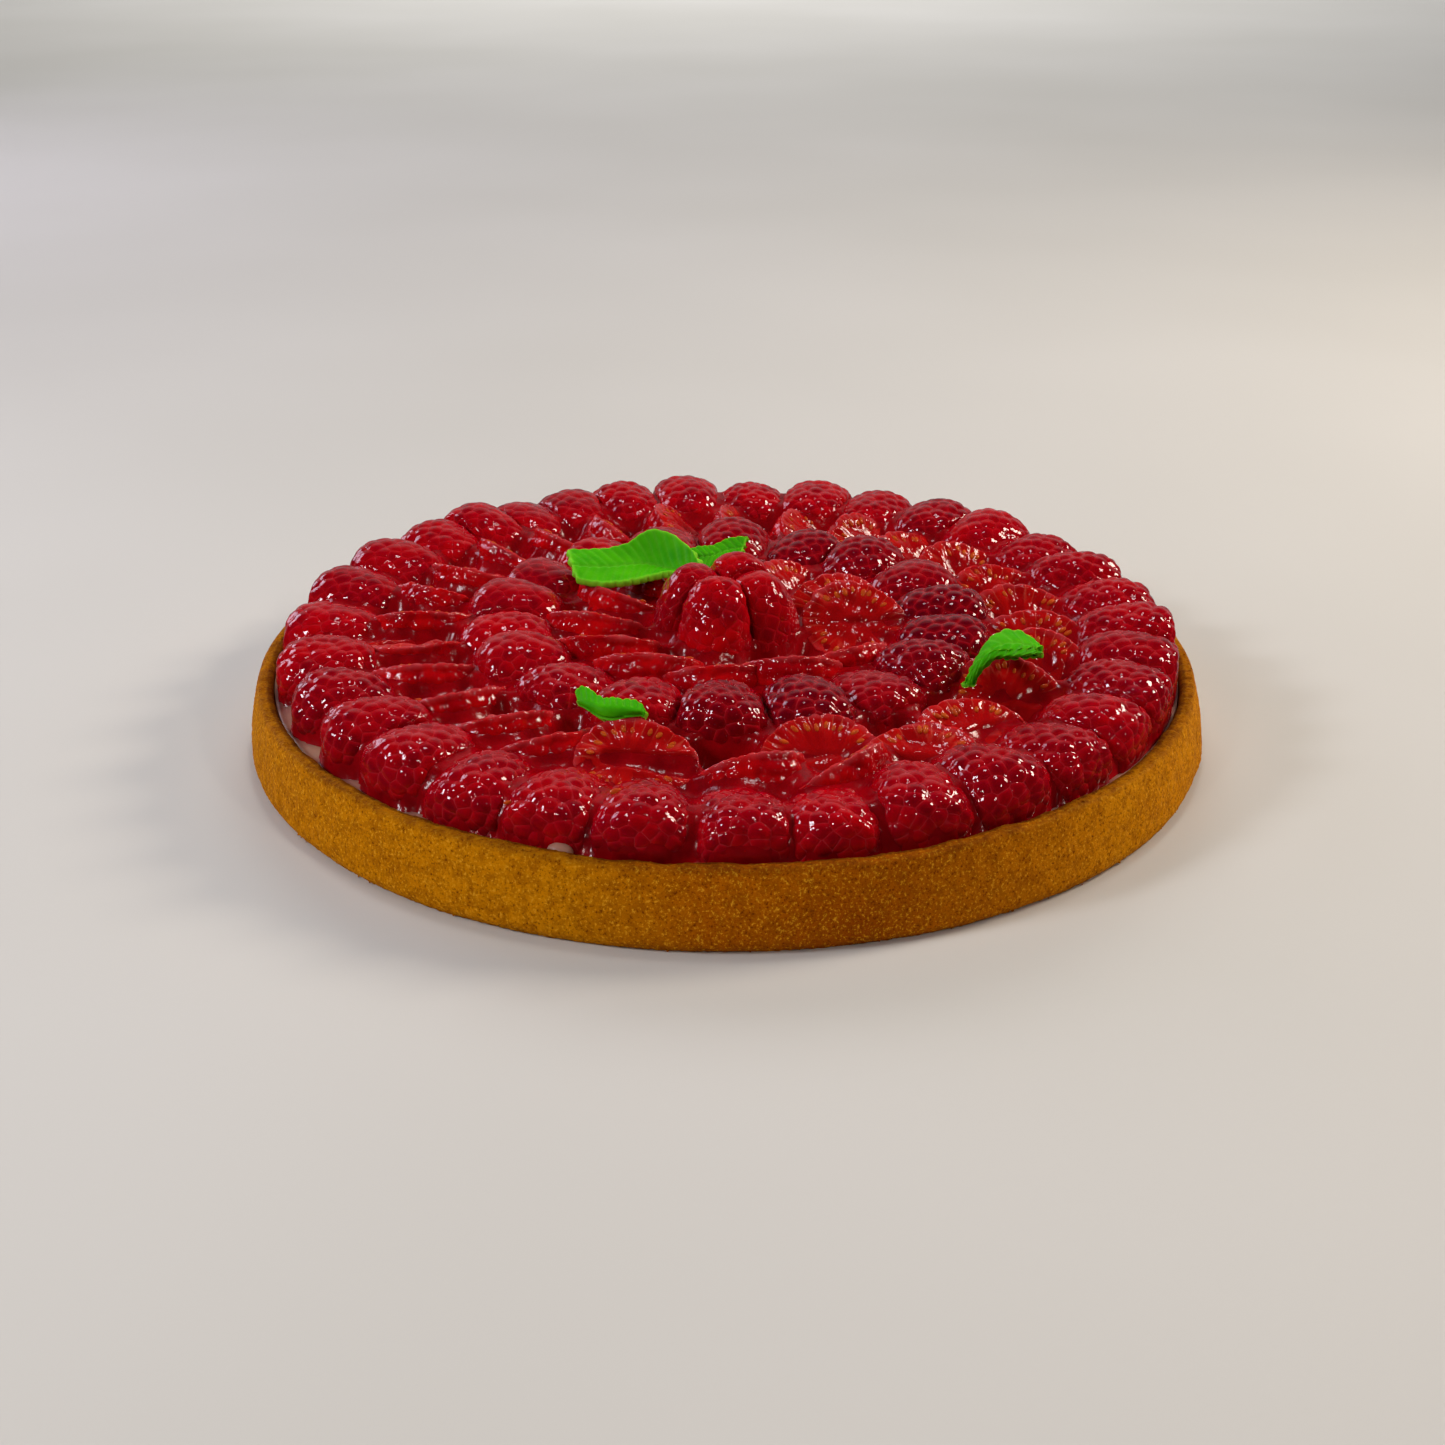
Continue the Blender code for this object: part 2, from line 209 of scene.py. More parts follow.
# Halves that lie otherwise than the rest of their ring, by ring and place: turned about the vertical,
# leaning, moved up, with a back so deep of their own, slid along the ring, and moved out of it. Those
# without such a back rest on the next
strayKeys = ("turnDeg", "leanDeg", "up", "back", "slideDeg", "out")
strayRows = {
    2: {
        14: (5, None, 1.0), 15: (-6, 54, 1.4), 16: (7, 48, 0.8), 17: (8, 56, 1.8, 12),
        18: (-8, 50, 1.0), 19: (4, 60, 2.2, 12), 20: (-9, 50, 1.2, None, 0, 1),
        21: (8, 57, 2.0, 12), 22: (None, 74, 3.0, 10), 23: (-14, 54, 1.8, 12),
        24: (-8, 60, 2.2, 12), 25: (-26, 54, 1.6, 11), 26: (-36, 52, 1.2, 11),
        27: (100, 57, 3.0, 9, 4, 3), 0: (-80, 44, 2.4, 12, 8, 3), 1: (86, 56, 1.2, 9, 8, -3),
        2: (-58, 46, 2.0, 8, -4, 7), 3: (61, 66, 1.0, 8, -4, 8), 4: (74, 62, 2.6, 9, -6, 7),
        5: (32, 46, 1.0, 10, -2), 6: (16, 44, 0.6),
    },
    4: {
        7: (6, 52, 1.4, 12), 8: (-6, 56, 1.6, 12), 9: (-12, 52, 1.4, 12), 10: (-28, 58, 2.6, 12),
        11: (-58, 54, 2.4, 12), 0: (-76, 56, 2.2, 12), 1: (-110, 52, 2.2, 11),
        2: (-118, 56, 0.6, 9), 3: (12, 48, 3.4, 10),
    },
}
strays = {
    (ring, place): {key: value for key, value in zip(strayKeys, row) if value is not None}
    for ring, rows in strayRows.items() for place, row in rows.items()
}
strays[2, 22].update(hollow=4.5, seedless=True)
strays[2, 27]["hollow"] = 1.0
strays[2, 0]["size"] = 0.85
finerBy = 33  # cuts across each of a ball's six faces


def roundBall(cuts):
    # a cube with even cuts blown up to a ball, so the faces are as small everywhere
    shape = bmesh.new()
    bmesh.ops.create_cube(shape, size=2)
    bmesh.ops.subdivide_edges(shape, edges=shape.edges[:], cuts=cuts, use_grid_fill=True)
    for vert in shape.verts:
        vert.co = Vector([math.tan(part * math.pi / 4) for part in vert.co]).normalized()
    return meshOf(shape, "ball")


ball = roundBall(finerBy)
ballWays = pointsOf(ball)


def angleOf(fruit, index):
    step = math.tau / fruit["count"]
    angle = math.radians(fruit["firstDeg"]) + index * step
    if fruit is outerBerries:
        away = (math.degrees(angle) - crowding["atDeg"]) % 360
        away = min(away, 360 - away) / crowding["widthDeg"]
        angle -= math.radians(crowding["turnDeg"]) * math.exp(-away * away)
    return angle + scatter["step"] * step * wobble(fruit["ring"], index % fruit["count"], 1)


def moved(points, matrix):
    return points @ np.array(matrix.to_3x3()).T + np.array(matrix.translation)


def pressed(points, outside, away, soft):
    # points within soft of a limit, or past it, end up just inside: outside is the signed distance
    near = np.maximum(outside + soft, 0)
    back = near - soft * (1 - np.exp(-near / soft))
    return points - back[:, None] * away


def pressedInBand(points, band):
    for limit, side in ((band[1], 1), (band[0], -1)):
        if limit > 0:
            radius = np.hypot(points[:, 0], points[:, 1]) + 1e-9
            away = side * points * (1, 1, 0) / radius[:, None]
            points = pressed(points, side * (radius - limit), away, press["ring"])
    return points


def girthOf(ways, seed):
    # of a raspberry along its length: slimmer at its tip, and never quite round
    along = ways[:, 0]
    lump = np.zeros(len(ways))
    for turn in range(4):
        wave = np.array([wobble(seed, turn, channel) for channel in (21, 22, 23)]) * 3.2
        lump += np.sin(ways @ wave + 6 * wobble(seed, turn, 24))
    taper = drupelet["shrinkToTip"] * (along - 0.35 * along * along)
    return (1 + taper) * (1 + drupelet["lumps"] * lump)


def ovoid(ways, reach, seed, cut=False):
    # a raspberry's outline from directions. One that is cut lengthwise stays full close to the cut
    full = (half if cut else drupelet)["fullness"]
    length, others = (1, (0, 2)) if cut else (0, (1, 2))
    blunt = (np.abs(ways[:, length]) ** full + np.hypot(*ways[:, others].T) ** full) ** (-1 / full)
    girth = girthOf(ways, seed)
    same = np.ones(len(ways))
    shape = np.stack([same, same if cut else girth, girth], 1)
    return ways * shape * reach * blunt[:, None]


def spiralWays(count, random):
    # directions in a sunflower spiral about X, as drupelets grow round the core
    number = np.arange(count) + 0.5
    along = 1 - 2 * number / count
    turn = number * math.pi * (3 - math.sqrt(5)) + random.uniform(0, 6.28)
    spread = np.sqrt(1 - along * along)
    ways = np.stack([along, spread * np.cos(turn), spread * np.sin(turn)], 1)
    ways += random.normal(0, 0.045, ways.shape)
    return ways / np.linalg.norm(ways, axis=1)[:, None]


def ringedWays(random, first):
    # directions in rings that start in the cut plane and close at the middle of the round back
    ways = []
    for ring, (lift, share) in enumerate(((0, 1), (17, 0.96), (35, 0.82), (53, 0.6), (72, 0.3))):
        count = max(3, round(first * share))
        for place in range(count):
            turn = math.tau * (place + 0.5 * (ring % 2)) / count + random.normal(0, 0.05)
            up = math.radians(lift + (random.normal(0, 2) if ring else 0))
            ways.append((math.cos(up) * math.cos(turn), math.sin(up), math.cos(up) * math.sin(turn)))
    return np.array(ways)


def faceLumps(across, upward, seed):
    # how a cut face swells and sinks, in waves of 5 to 9 mm
    swell = 0
    for turn in range(5):
        way = math.pi * wobble(seed, turn, 31)
        length = half["lumpLength"] + 2 * wobble(seed, turn, 32)
        ahead = across * math.cos(way) + upward * math.sin(way)
        swell += np.sin(ahead * math.tau / length + 3 * turn)
    return half["faceLumps"] * swell


def domes(apart):
    # height of the drupelets over the outline, with the glaze rounding out each crease
    soft = drupelet["fill"]
    return soft * np.log(np.exp(-apart ** 2 / (2 * drupelet["curve"] * soft)).sum(1)) + drupelet["lift"]


def normalsOf(points, reach):
    away = points / np.array(reach) ** 2
    return away / np.linalg.norm(away, axis=1)[:, None]


def writeCells(mesh, apart, shades):
    # each corner gets its distance to the three drupelets nearest to its face, so that the material
    # can draw the crease between them finer than the mesh is
    corners = np.zeros(len(mesh.loops), int)
    mesh.loops.foreach_get("vertex_index", corners)
    starts = np.zeros(len(mesh.polygons), int)
    mesh.polygons.foreach_get("loop_start", starts)
    counts = np.diff(np.append(starts, len(corners)))
    middle = np.add.reduceat(apart[corners], starts, axis=0) / counts[:, None]
    nearest = np.repeat(np.argpartition(middle, 3, axis=1)[:, :3], counts, axis=0)
    distances = apart[corners[:, None], nearest]
    for name, values in (("cellDistance", distances), ("cellShade", shades[nearest])):
        layer = mesh.attributes.new(name, "FLOAT_VECTOR", "CORNER")
        layer.data.foreach_set("vector", values.astype(np.float32).ravel())


def writePoints(mesh, name, values):
    layer = mesh.attributes.new(name, "FLOAT", "POINT")
    layer.data.foreach_set("value", np.asarray(values, np.float32))


def startFruit(place, cutAt, outline, ways, random):
    # the ball in its outline, with only the part above the cream, closed underneath. Gives its mesh
    # and points, the middles of its drupelets, and how far the points are from those
    base = outline(ballWays)
    ball.vertices.foreach_set("co", base.ravel())
    shape = bmesh.new()
    shape.from_mesh(ball)
    home = place.inverted()
    planePoint = np.array(home @ Vector((0, 0, cutAt)))
    planeUp = np.array(home.to_3x3() @ Vector((0, 0, 1)))
    if ((base - planePoint) @ planeUp).min() < 0:
        everything = shape.verts[:] + shape.edges[:] + shape.faces[:]
        bmesh.ops.bisect_plane(
            shape, geom=everything, dist=1e-4, plane_co=planePoint, plane_no=planeUp, clear_inner=True)
        rim = [edge for edge in shape.edges if edge.is_boundary]
        bmesh.ops.contextual_create(shape, geom=rim)
    mesh = meshOf(shape, "fruit")
    points = pointsOf(mesh)
    centres = outline(ways)
    apart = np.linalg.norm(points[:, None] - centres[None], axis=2)
    writeCells(mesh, apart, random.uniform(0, 1, len(centres)))
    return mesh, points, centres, apart


def finishFruit(mesh, points, angle, ripeness):
    writePoints(mesh, "ripeness", np.full(len(points), ripeness))
    writeShape(mesh, moved(points, Matrix.Rotation(angle, 4, "Z")))
    mesh.update()
    return mesh


def wholeBerry(fruit, index):
    ring = fruit["ring"]
    random = np.random.default_rng(100 * ring + index)
    size = 0.5 * (1 + scatter["length"] * wobble(ring, index, 2))
    reach = np.array((size * fruit["length"], 0.5 * fruit["width"], size * fruit["height"]))
    reach -= drupelet["inset"]
    angle = angleOf(fruit, index)
    front, left = max(0, -math.sin(angle)), max(0, -math.cos(angle))
    loose = fruit.get("loose", {"atDeg": 0, "widthDeg": 1, "turnDeg": 0, "inwards": 0})
    apartDeg = (math.degrees(angle) - loose["atDeg"] + 180) % 360 - 180
    looseness = math.exp(-(apartDeg / loose["widthDeg"]) ** 2)
    radius = fruit["radius"] - loose["inwards"] * looseness
    middle = fruit["middle"] + scatter["middle"] * wobble(ring, index, 5)
    place = (
        Matrix.Translation((radius, 0, middle - fruit["frontSink"] * front ** 6))
        @ turnBy(fruit["skewDeg"] * wobble(ring, index, 3) + loose["turnDeg"] * looseness, "Z")
        @ turnBy(fruit["tiltDeg"] + scatter["tiltDeg"] * wobble(ring, index, 4), "Y")
    )
    seed = 40 * ring + index
    mesh, points, centres, apart = startFruit(
        place, fruit["cutAt"], lambda ways: ovoid(ways, reach, seed),
        spiralWays(fruit["drupelets"], random), random)
    share = fruit["rise"] + fruit["riseFront"] * front - drupelet["lessLeft"] * left ** 2
    rise = domes(apart) * (share + drupelet["riseSpread"] * wobble(ring, index, 6))
    away = normalsOf(points, reach) @ np.array(place.to_3x3()).T
    points = moved(points, place)
    for step in (-1, 1):
        turn = (angleOf(fruit, index + step) - angle + math.pi) % math.tau - math.pi
        gap = 0.5 * abs(turn)
        outward = np.array((-math.sin(gap), step * math.cos(gap), 0))
        points = pressed(points, points @ outward + press["berryGap"], outward, press["berries"])
    points = pressedInBand(points, fruit["band"]) + rise[:, None] * away
    ripeness = fruit["ripeness"] + fruit["riperRight"] * math.cos(angle)
    return finishFruit(mesh, points, angle, ripeness + scatter["ripeness"] * wobble(ring, index, 8))


def cutPlane(fruit, index, ahead=0):
    # a half's cut face, in the frame of the half that stands so many places before it
    here = (index + ahead) % fruit["count"]
    stray = strays.get((fruit["ring"], here), {})
    lean = fruit["leanDeg"] + fruit["leanSpreadDeg"] * wobble(fruit["ring"], here, 4)
    turn = stray.get("turnDeg", scatter["turnDeg"] * wobble(fruit["ring"], here, 9))
    slide = angleOf(fruit, index + ahead) - angleOf(fruit, index)
    point = Vector((fruit["radius"] + stray.get("out", 0), 0, fruit["middle"] + stray.get("up", 0)))
    place = Matrix.Rotation(slide, 4, "Z") @ turnBy(stray.get("slideDeg", 0), "Z")
    place = place @ Matrix.Translation(point) @ turnBy(turn, "Z")
    place = place @ turnBy(-stray.get("leanDeg", lean), "X")
    return place, place.translation, place.to_3x3() @ Vector((0, -1, 0))


seedSpots = []  # where each seed lies, the way it points and the way it faces, in millimetres


def halfBerry(fruit, index):
    ring = fruit["ring"]
    random = np.random.default_rng(100 * ring + index)
    stray = strays.get((ring, index), {})
    place, centre, facing = cutPlane(fruit, index)
    nextPoint, nextFacing = cutPlane(fruit, index, 1)[1:]
    if "back" in stray:
        depth = stray["back"]
    else:
        depth = (nextPoint - centre).dot(nextFacing) / -facing.dot(nextFacing) + half["overlap"]
    size = 0.5 * stray.get("size", 1)
    inset = half["inset"]
    reach = (size * fruit["length"] - inset, depth, size * fruit["width"] - inset)
    place = place @ turnBy(fruit["skewDeg"] * wobble(ring, index, 3), "Y")
    seed = 40 * ring + index
    tipOut = -1 if wobble(ring, index, 7) > -0.3 else 1  # most halves lie with their tip outwards
    flip = np.array((tipOut, 1, 1))

    def outline(ways):
        # past the rim, the ball's other side is laid flat in the cut plane
        behind = np.clip(-ways[:, 1], 0, 1)
        inward = 1 - np.arcsin(behind) / (math.pi / 2)
        flat = np.hypot(ways[:, 0], ways[:, 2]) + 1e-9
        onRim = np.stack([tipOut * ways[:, 0] / flat, 0 * flat, ways[:, 2] / flat], 1)
        skin = ovoid(ways * flip, reach, seed, cut=True)
        face = ovoid(onRim, reach, seed, cut=True) * inward[:, None]
        face[:, 1] = -0.001 * (1 - inward)
        return np.where((ways[:, 1] >= 0)[:, None], skin, face) * flip

    mesh, points, centres, apart = startFruit(
        place, fruit["cutAt"], outline, ringedWays(random, half["around"]), random)
    rise = (domes(apart) * half["backRise"])[:, None]

    onFace = points[:, 1] < 0
    uneven = random.uniform(-1, 1, len(centres))[apart.argmin(1)]
    outer = np.hypot(points[:, 0] / reach[0], points[:, 2] / reach[2])
    # distance in from the rim, from how far out of the middle a point lies
    inFrom = (1 - outer) * np.hypot(points[:, 0], points[:, 2]) / np.maximum(outer, 0.05)
    away = normalsOf(points, reach)
    flatAway = away * (1, 0, 1)
    flatAway /= np.linalg.norm(flatAway, axis=1)[:, None] + 1e-9
    rim = np.clip(1 - inFrom / half["rimWidth"], 0, 1)[:, None]
    shaped = points + rise * np.where(onFace[:, None], flatAway * rim, away)
    # the hollow core runs from near the tip to the open stem end
    stem = -tipOut * points[:, 0]
    fromTip = stem + reach[0] - half["wallThick"] - half["coreTip"]
    stemward = np.clip(fromTip / (2 * reach[0] - half["wallThick"]), 0, 1)
    coreRadius = stray.get("hollow", 0) + half["coreTip"] * (1 - stemward) + half["coreStem"] * stemward
    toCore = np.hypot(points[:, 2], np.minimum(fromTip, 0)) - coreRadius
    roundness = np.sqrt(np.clip(1 - outer ** 2, 0, 1))
    dip = np.clip((0.6 - toCore) / half["coreSlope"], 0, 1)
    dipShare = half["coreDipWide" if "hollow" in stray else "coreDip"]
    deepest = np.minimum(coreRadius * dipShare, 0.6 * depth * roundness)
    dip = dip * dip * (3 - 2 * dip) * deepest
    bulge = half["faceBulge"] * np.clip(1 - outer ** 6, 0, 1)
    nearest = np.partition(apart[:, :half["around"]], 1, axis=1)
    domed = np.clip((nearest[:, 1] - nearest[:, 0]) / half["sectionWidth"], 0, 1)
    section = half["sectionRise"] * domed * (2 - domed + half["sectionSpread"] * uneven)
    section *= np.clip(toCore, 0, 1)
    lumps = faceLumps(points[:, 0], points[:, 2], seed) * np.clip(inFrom / 1.5, 0, 1)
    shaped[:, 1] = np.where(onFace, dip - bulge - section - lumps, shaped[:, 1])
    writePoints(mesh, "fleshDepth", np.where(onFace, inFrom * (1 + 0.2 * uneven), -points[:, 1]))
    writePoints(mesh, "coreDepth", np.where(onFace, np.clip(-toCore, -3, 3), -3))

    turn = Matrix.Rotation(angleOf(fruit, index), 4, "Z") @ place
    for way in centres[:half["around"]]:
        inwards = -way * (1, 0, 1) / np.linalg.norm(way * (1, 0, 1))
        spot = way + inwards * random.uniform(*half["seedDepth"])
        atStem = -tipOut * spot[0] > 0.66 * reach[0] and abs(spot[2]) < half["coreStem"] + 1.4
        if random.uniform() < half["seedGaps"] or "seedless" in stray or atStem:
            continue
        seedAt = half["seedSunk"] - faceLumps(spot[0], spot[2], seed)
        axes = [turn.to_3x3() @ Vector(axis) for axis in (inwards, (0, -1, 0))]
        seedSpots.append((turn @ Vector((spot[0], seedAt, spot[2])), *axes))

    points = moved(shaped, place)
    if "back" not in stray:
        limit = -np.array(nextFacing)
        outside = (points - np.array(nextPoint)) @ limit + press["tileGap"]
        points = pressed(points, outside, limit, press["tiles"])
    roam = half["roam"] if "back" in stray else (0, 0)
    points = pressedInBand(points, (fruit["band"][0] - roam[0], fruit["band"][1] + roam[1]))
    ripeness = half["ripeness"] * (1 + wobble(ring, index, 8))
    return finishFruit(mesh, points, angleOf(fruit, index), ripeness)


def addFruit(fruit, maker, material):
    # the ring's fruit, joined into the rows that its nodes hold
    pieces = []
    for row in range(fruit["count"] // fruit["row"]):
        joined = bmesh.new()
        for place in range(fruit["row"]):
            part = maker(fruit, row * fruit["row"] + place)
            joined.from_mesh(part)
            bpy.data.meshes.remove(part)
        node = fruit["nodes"].format(row + 1)
        pieces.append(addPiece(node + "Fruit", meshOf(joined, node + "Fruit"), material, [node]))
    return pieces


wetFruit = {  # lets a little light in, mostly red, under a glaze as clear as syrup
    "IOR": 1.38, "Subsurface Weight": 0.3, "Subsurface Scale": 0.002,
    "Subsurface Radius": (1.0, 0.08, 0.06), "Coat IOR": 1.38, "Specular IOR Level": 0.0,
}


def glazedRaspberry(name, cut):
    # Ripe raspberry under clear fruit glaze. The skin is deep crimson and lets a little light in, the
    # glaze over it is wet and smooth, and the light it catches in the creases between drupelets is
    # painted in as lighter lines
    material, add, place, ripe = startMaterial(name, {
        **wetFruit, "Roughness": 0.45, "Coat Weight": 1.0, "Coat Roughness": 0.08 if cut else 0.04,
    }, (140.0, 3.0, (0.42, 0.0), (0.64, 1.0)))
    gap, tint = (
        add("SeparateXYZ", links=add("Attribute", {"attribute_name": layer})["Vector"])
        for layer in ("cellDistance", "cellShade"))
    # how much farther the second nearest drupelet is than the nearest: nothing in a crease
    limits = [{"operation": limit} for limit in ("MINIMUM", "MAXIMUM")]
    lower, upper = (add("Math", limit, {0: gap[0], 1: gap[1]})[0] for limit in limits)
    nearest, between = (add("Math", limit, {0: lower, 1: gap[2]})[0] for limit in limits)
    second = add("Math", limits[0], {0: upper, 1: between})[0]
    edge = add("Math", {"operation": "SUBTRACT"}, {0: second, 1: nearest})[0]
    # each drupelet has a shade of its own
    shade = tint[2]
    for number in (1, 0):
        isNearest = add("Math", {"operation": "LESS_THAN"}, {0: gap[number], 1: second})[0]
        shade = add("Mix", links={0: isNearest, 2: shade, 3: tint[number]})[0]

    # painted light: lighter lines in the creases stand in for the light that the glaze catches there;
    # noise breaks them up and they fade towards the back
    breaks = add("TexNoise", {"Scale": 170.0, "Detail": 4.0}, place)[0]
    broken = add("MapRange", {1: 0.36, 2: 0.68, 3: 0.0, 4: 0.7}, breaks)[0]
    along = add("SeparateXYZ", links=place)[1]
    creaseLightFade = add("MapRange", {1: -0.09, 2: 0.02, 3: 1.0, 4: 0.35}, along)[0]  # glaze at the back
    paintedCreaseLight = add("ValToRGB", {"stops": ((0.0, 1.0), (0.12, 0.8), (0.34, 0.0))}, edge)[0]
    for share in (broken, creaseLightFade):
        paintedCreaseLight = add("Math", {"operation": "MULTIPLY"}, {0: paintedCreaseLight, 1: share})[0]
    if cut:  # the halves' backs are smooth and bright
        colour = add("Mix", {"data_type": "RGBA", 6: "#a8000c", 7: "#cc060c"}, ripe)[2]
        paintedCreaseLight = add("Math", {"operation": "MULTIPLY", 1: 0.3}, paintedCreaseLight)[0]
        layers = [(paintedCreaseLight, "#bc303a")]
    else:
        colour = add("Mix", {"data_type": "RGBA", 6: "#90000f", 7: "#b80014"}, shade)[2]
        dark = add("Attribute", {"attribute_name": "ripeness"})["Fac"]
        # painted light: each drupelet is painted lighter towards its creases and darker in its middle
        paintedBeadEdgeLight = add("MapRange", {1: 0.0, 2: 1.6, 3: 0.45, 4: 0.0}, edge)[0]
        layers = [(ripe, "#c8020c"), (dark, "#5c0010"), (paintedBeadEdgeLight, "#c8101c"), (paintedCreaseLight, "#bc303a")]
    for share, tone in layers:
        colour = add("Mix", {"data_type": "RGBA", 7: tone}, {0: share, 6: colour})[2]
    if cut:
        depth, core = (
            add("Attribute", {"attribute_name": layer})["Fac"] for layer in ("fleshDepth", "coreDepth"))
        walls = add("ValToRGB", {"stops": ((0.0, 1.0), (0.10, 0.7), (0.26, 0.0))}, edge)[0]
        fade = add("MapRange", {1: 1.5, 2: 5.2, 3: 1.0, 4: 0.0}, depth)[0]
        walls = add("Math", {"operation": "MULTIPLY"}, {0: walls, 1: fade})[0]
        inside = add("MapRange", {1: 3.5, 2: 8.0, 3: 0.0, 4: 0.7}, depth)[0]
        # painted shade: the hollow core is painted darker where the face dips into it
        hollow = add("MapRange", {1: -0.5, 2: 2.0, 3: 0.0, 4: 0.8}, core)[0]
        flesh = add("Mix", {"data_type": "RGBA", 6: "#a4040a", 7: "#c0100e"}, shade)[2]
        for share, tone in ((walls, "#cc4838"), (inside, "#a4080e"), (hollow, "#84060c")):
            flesh = add("Mix", {"data_type": "RGBA", 7: tone}, {0: share, 6: flesh})[2]
        onFace = add("MapRange", {1: -0.25, 2: 0.25}, depth)[0]
        colour = add("Mix", {"data_type": "RGBA"}, {0: onFace, 6: colour, 7: flesh})[2]
        # painted sheen: the cut rim, where skin meets face, is painted light pink for the wet glaze
        # shining along it
        size = add("Math", {"operation": "ABSOLUTE"}, depth)[0]
        rim = add("MapRange", {1: 0.2, 2: 1.5, 3: 0.8, 4: 0.0}, size)[0]
        rim = add("Math", {"operation": "MULTIPLY"}, {0: rim, 1: broken})[0]
        colour = add("Mix", {"data_type": "RGBA", 7: "#cc5058"}, {0: rim, 6: colour})[2]
    # the glaze follows each drupelet, and ripples over 1.6 mm
    groove = add("MapRange", {"interpolation_type": "SMOOTHSTEP", 1: 0.0, 2: 0.9}, edge)[0]
    ripple = add("TexNoise", {"Scale": 620.0, "Detail": 2.0, "Roughness": 0.6}, place)[0]
    wet = add("Mix", {0: 0.12}, {2: ripple, 3: groove})[0]
    wetBump = add("Bump", {"Strength": 0.6 if cut else 0.35, "Distance": 0.0004}, {"Height": wet})[0]
    sources = {"Base Color": colour, "Coat Normal": wetBump}
    if not cut:
        sources["Normal"] = add("Bump", {"Strength": 0.6, "Distance": 0.0003}, {"Height": groove})[0]
    return finishMaterial(material, sources)


wholeFruit = glazedRaspberry("glazedRaspberry", False)
cutFruit = glazedRaspberry("glazedCutRaspberry", True)
fruitPieces = []
for ring in (outerBerries, innerBerries, centreBerries):
    fruitPieces += addFruit(ring, wholeBerry, wholeFruit)
print("tart:", len(fruitPieces), "pieces of whole raspberries")
for ring in (outerHalves, innerHalves):
    fruitPieces += addFruit(ring, halfBerry, cutFruit)
print("tart: halves,", len(seedSpots), "seeds to come")


# Seeds in the cut faces
seedSize = {
    "length": 2.5, "width": 1.3, "thick": 0.8,
    "loose": ((-47.0, -100.8, 12), (-23.8, -101.2, 20)),  # where on the tart, and which way they point
}


def looseSeeds():
    # two single seeds stuck on the outer raspberries at the front
    outer = fruitPieces[:outerBerries["count"]]
    points = np.concatenate([pointsOf(piece.data) for piece in outer]) / mm
    for across, along, way in seedSize["loose"]:
        near = points[np.hypot(points[:, 0] - across, points[:, 1] - along) < 0.8]
        up = Vector((0, -0.55, 0.83))
        ahead = turnBy(way, "Z") @ Vector((1, 0, 0))
        spot = Vector((across, along, near[:, 2].max()))
        seedSpots.append((spot, (ahead - up * ahead.dot(up)).normalized(), up))


def addSeeds():
    random = np.random.default_rng(7)
    single = bmesh.new()
    bmesh.ops.create_uvsphere(single, u_segments=8, v_segments=5, radius=0.5)
    seed = meshOf(single, "seed")
    ways = pointsOf(seed)
    shape = bmesh.new()
    for spot, along, up in seedSpots:
        side = up.cross(along).normalized()
        axes = np.array((along * seedSize["length"], side * seedSize["width"], up * seedSize["thick"]))
        writeShape(seed, ways @ (axes * random.uniform(0.8, 1.15)) + np.array(spot))
        shape.from_mesh(seed)
    # Raspberry seeds: pale amber, wet with glaze, half sunk in the flesh
    material = startMaterial("raspberrySeed", {
        "Roughness": 0.45, "IOR": 1.45, "Subsurface Weight": 0.3, "Subsurface Scale": 0.001,
        "Coat Weight": 0.35, "Coat Roughness": 0.08, "Coat IOR": 1.38, "Specular IOR Level": 0.1,
    }, (420.0, 2.0, (0.35, "#b83c0c"), (0.65, "#cc5810")))[0]
    return addPiece("seeds", meshOf(shape, "seeds"), material)


looseSeeds()
addSeeds()
print("tart: seeds")


# Shortcrust case
case = {
    "radius": 120, "height": 19, "wall": 4, "floor": 4,
    "belly": 2.88, "bellyAt": 0.16,  # how far the wall bulges, and at what share of its height
    "ragged": 0.0018,  # height of the uneven foot, in metres, as the next two radii are
    "wallFrom": 0.115, "outsideFrom": 0.1185,
    "around": 1100, "steps": 32,
}


def caseProfile():
    # (radius, height) points from the middle of the underside, up the wall and back to the middle
    radius, height, belly = case["radius"], case["height"], case["belly"]
    inner = radius - case["wall"]
    points = [(0, 0), (60, 0), (112, 0), (119, 0), (radius + 0.45 * belly, 0)]
    bellyAt = case["bellyAt"]
    for step in range(1, case["steps"]):
        share = step / case["steps"]
        if share > bellyAt:
            bulge = belly * (1 - ((share - bellyAt) / (1 - bellyAt)) ** 1.5)
        else:
            bulge = belly * (1 - 0.5 * ((bellyAt - share) / bellyAt) ** 2)
        points.append((radius + bulge, height * share * 0.985))
    points += [(radius - 0.35, height - 0.05), (radius - 0.9, height), (radius - 1.7, height + 0.05)]
    points += [(inner + 1.5, height), (inner + 0.8, height - 0.1), (inner + 0.2, height - 0.5)]
    points += [(inner, height - down) for down in (1.1, 2, 3, 4, 6)]
    return points + [(inner, case["floor"]), (60, case["floor"]), (0, case["floor"])]


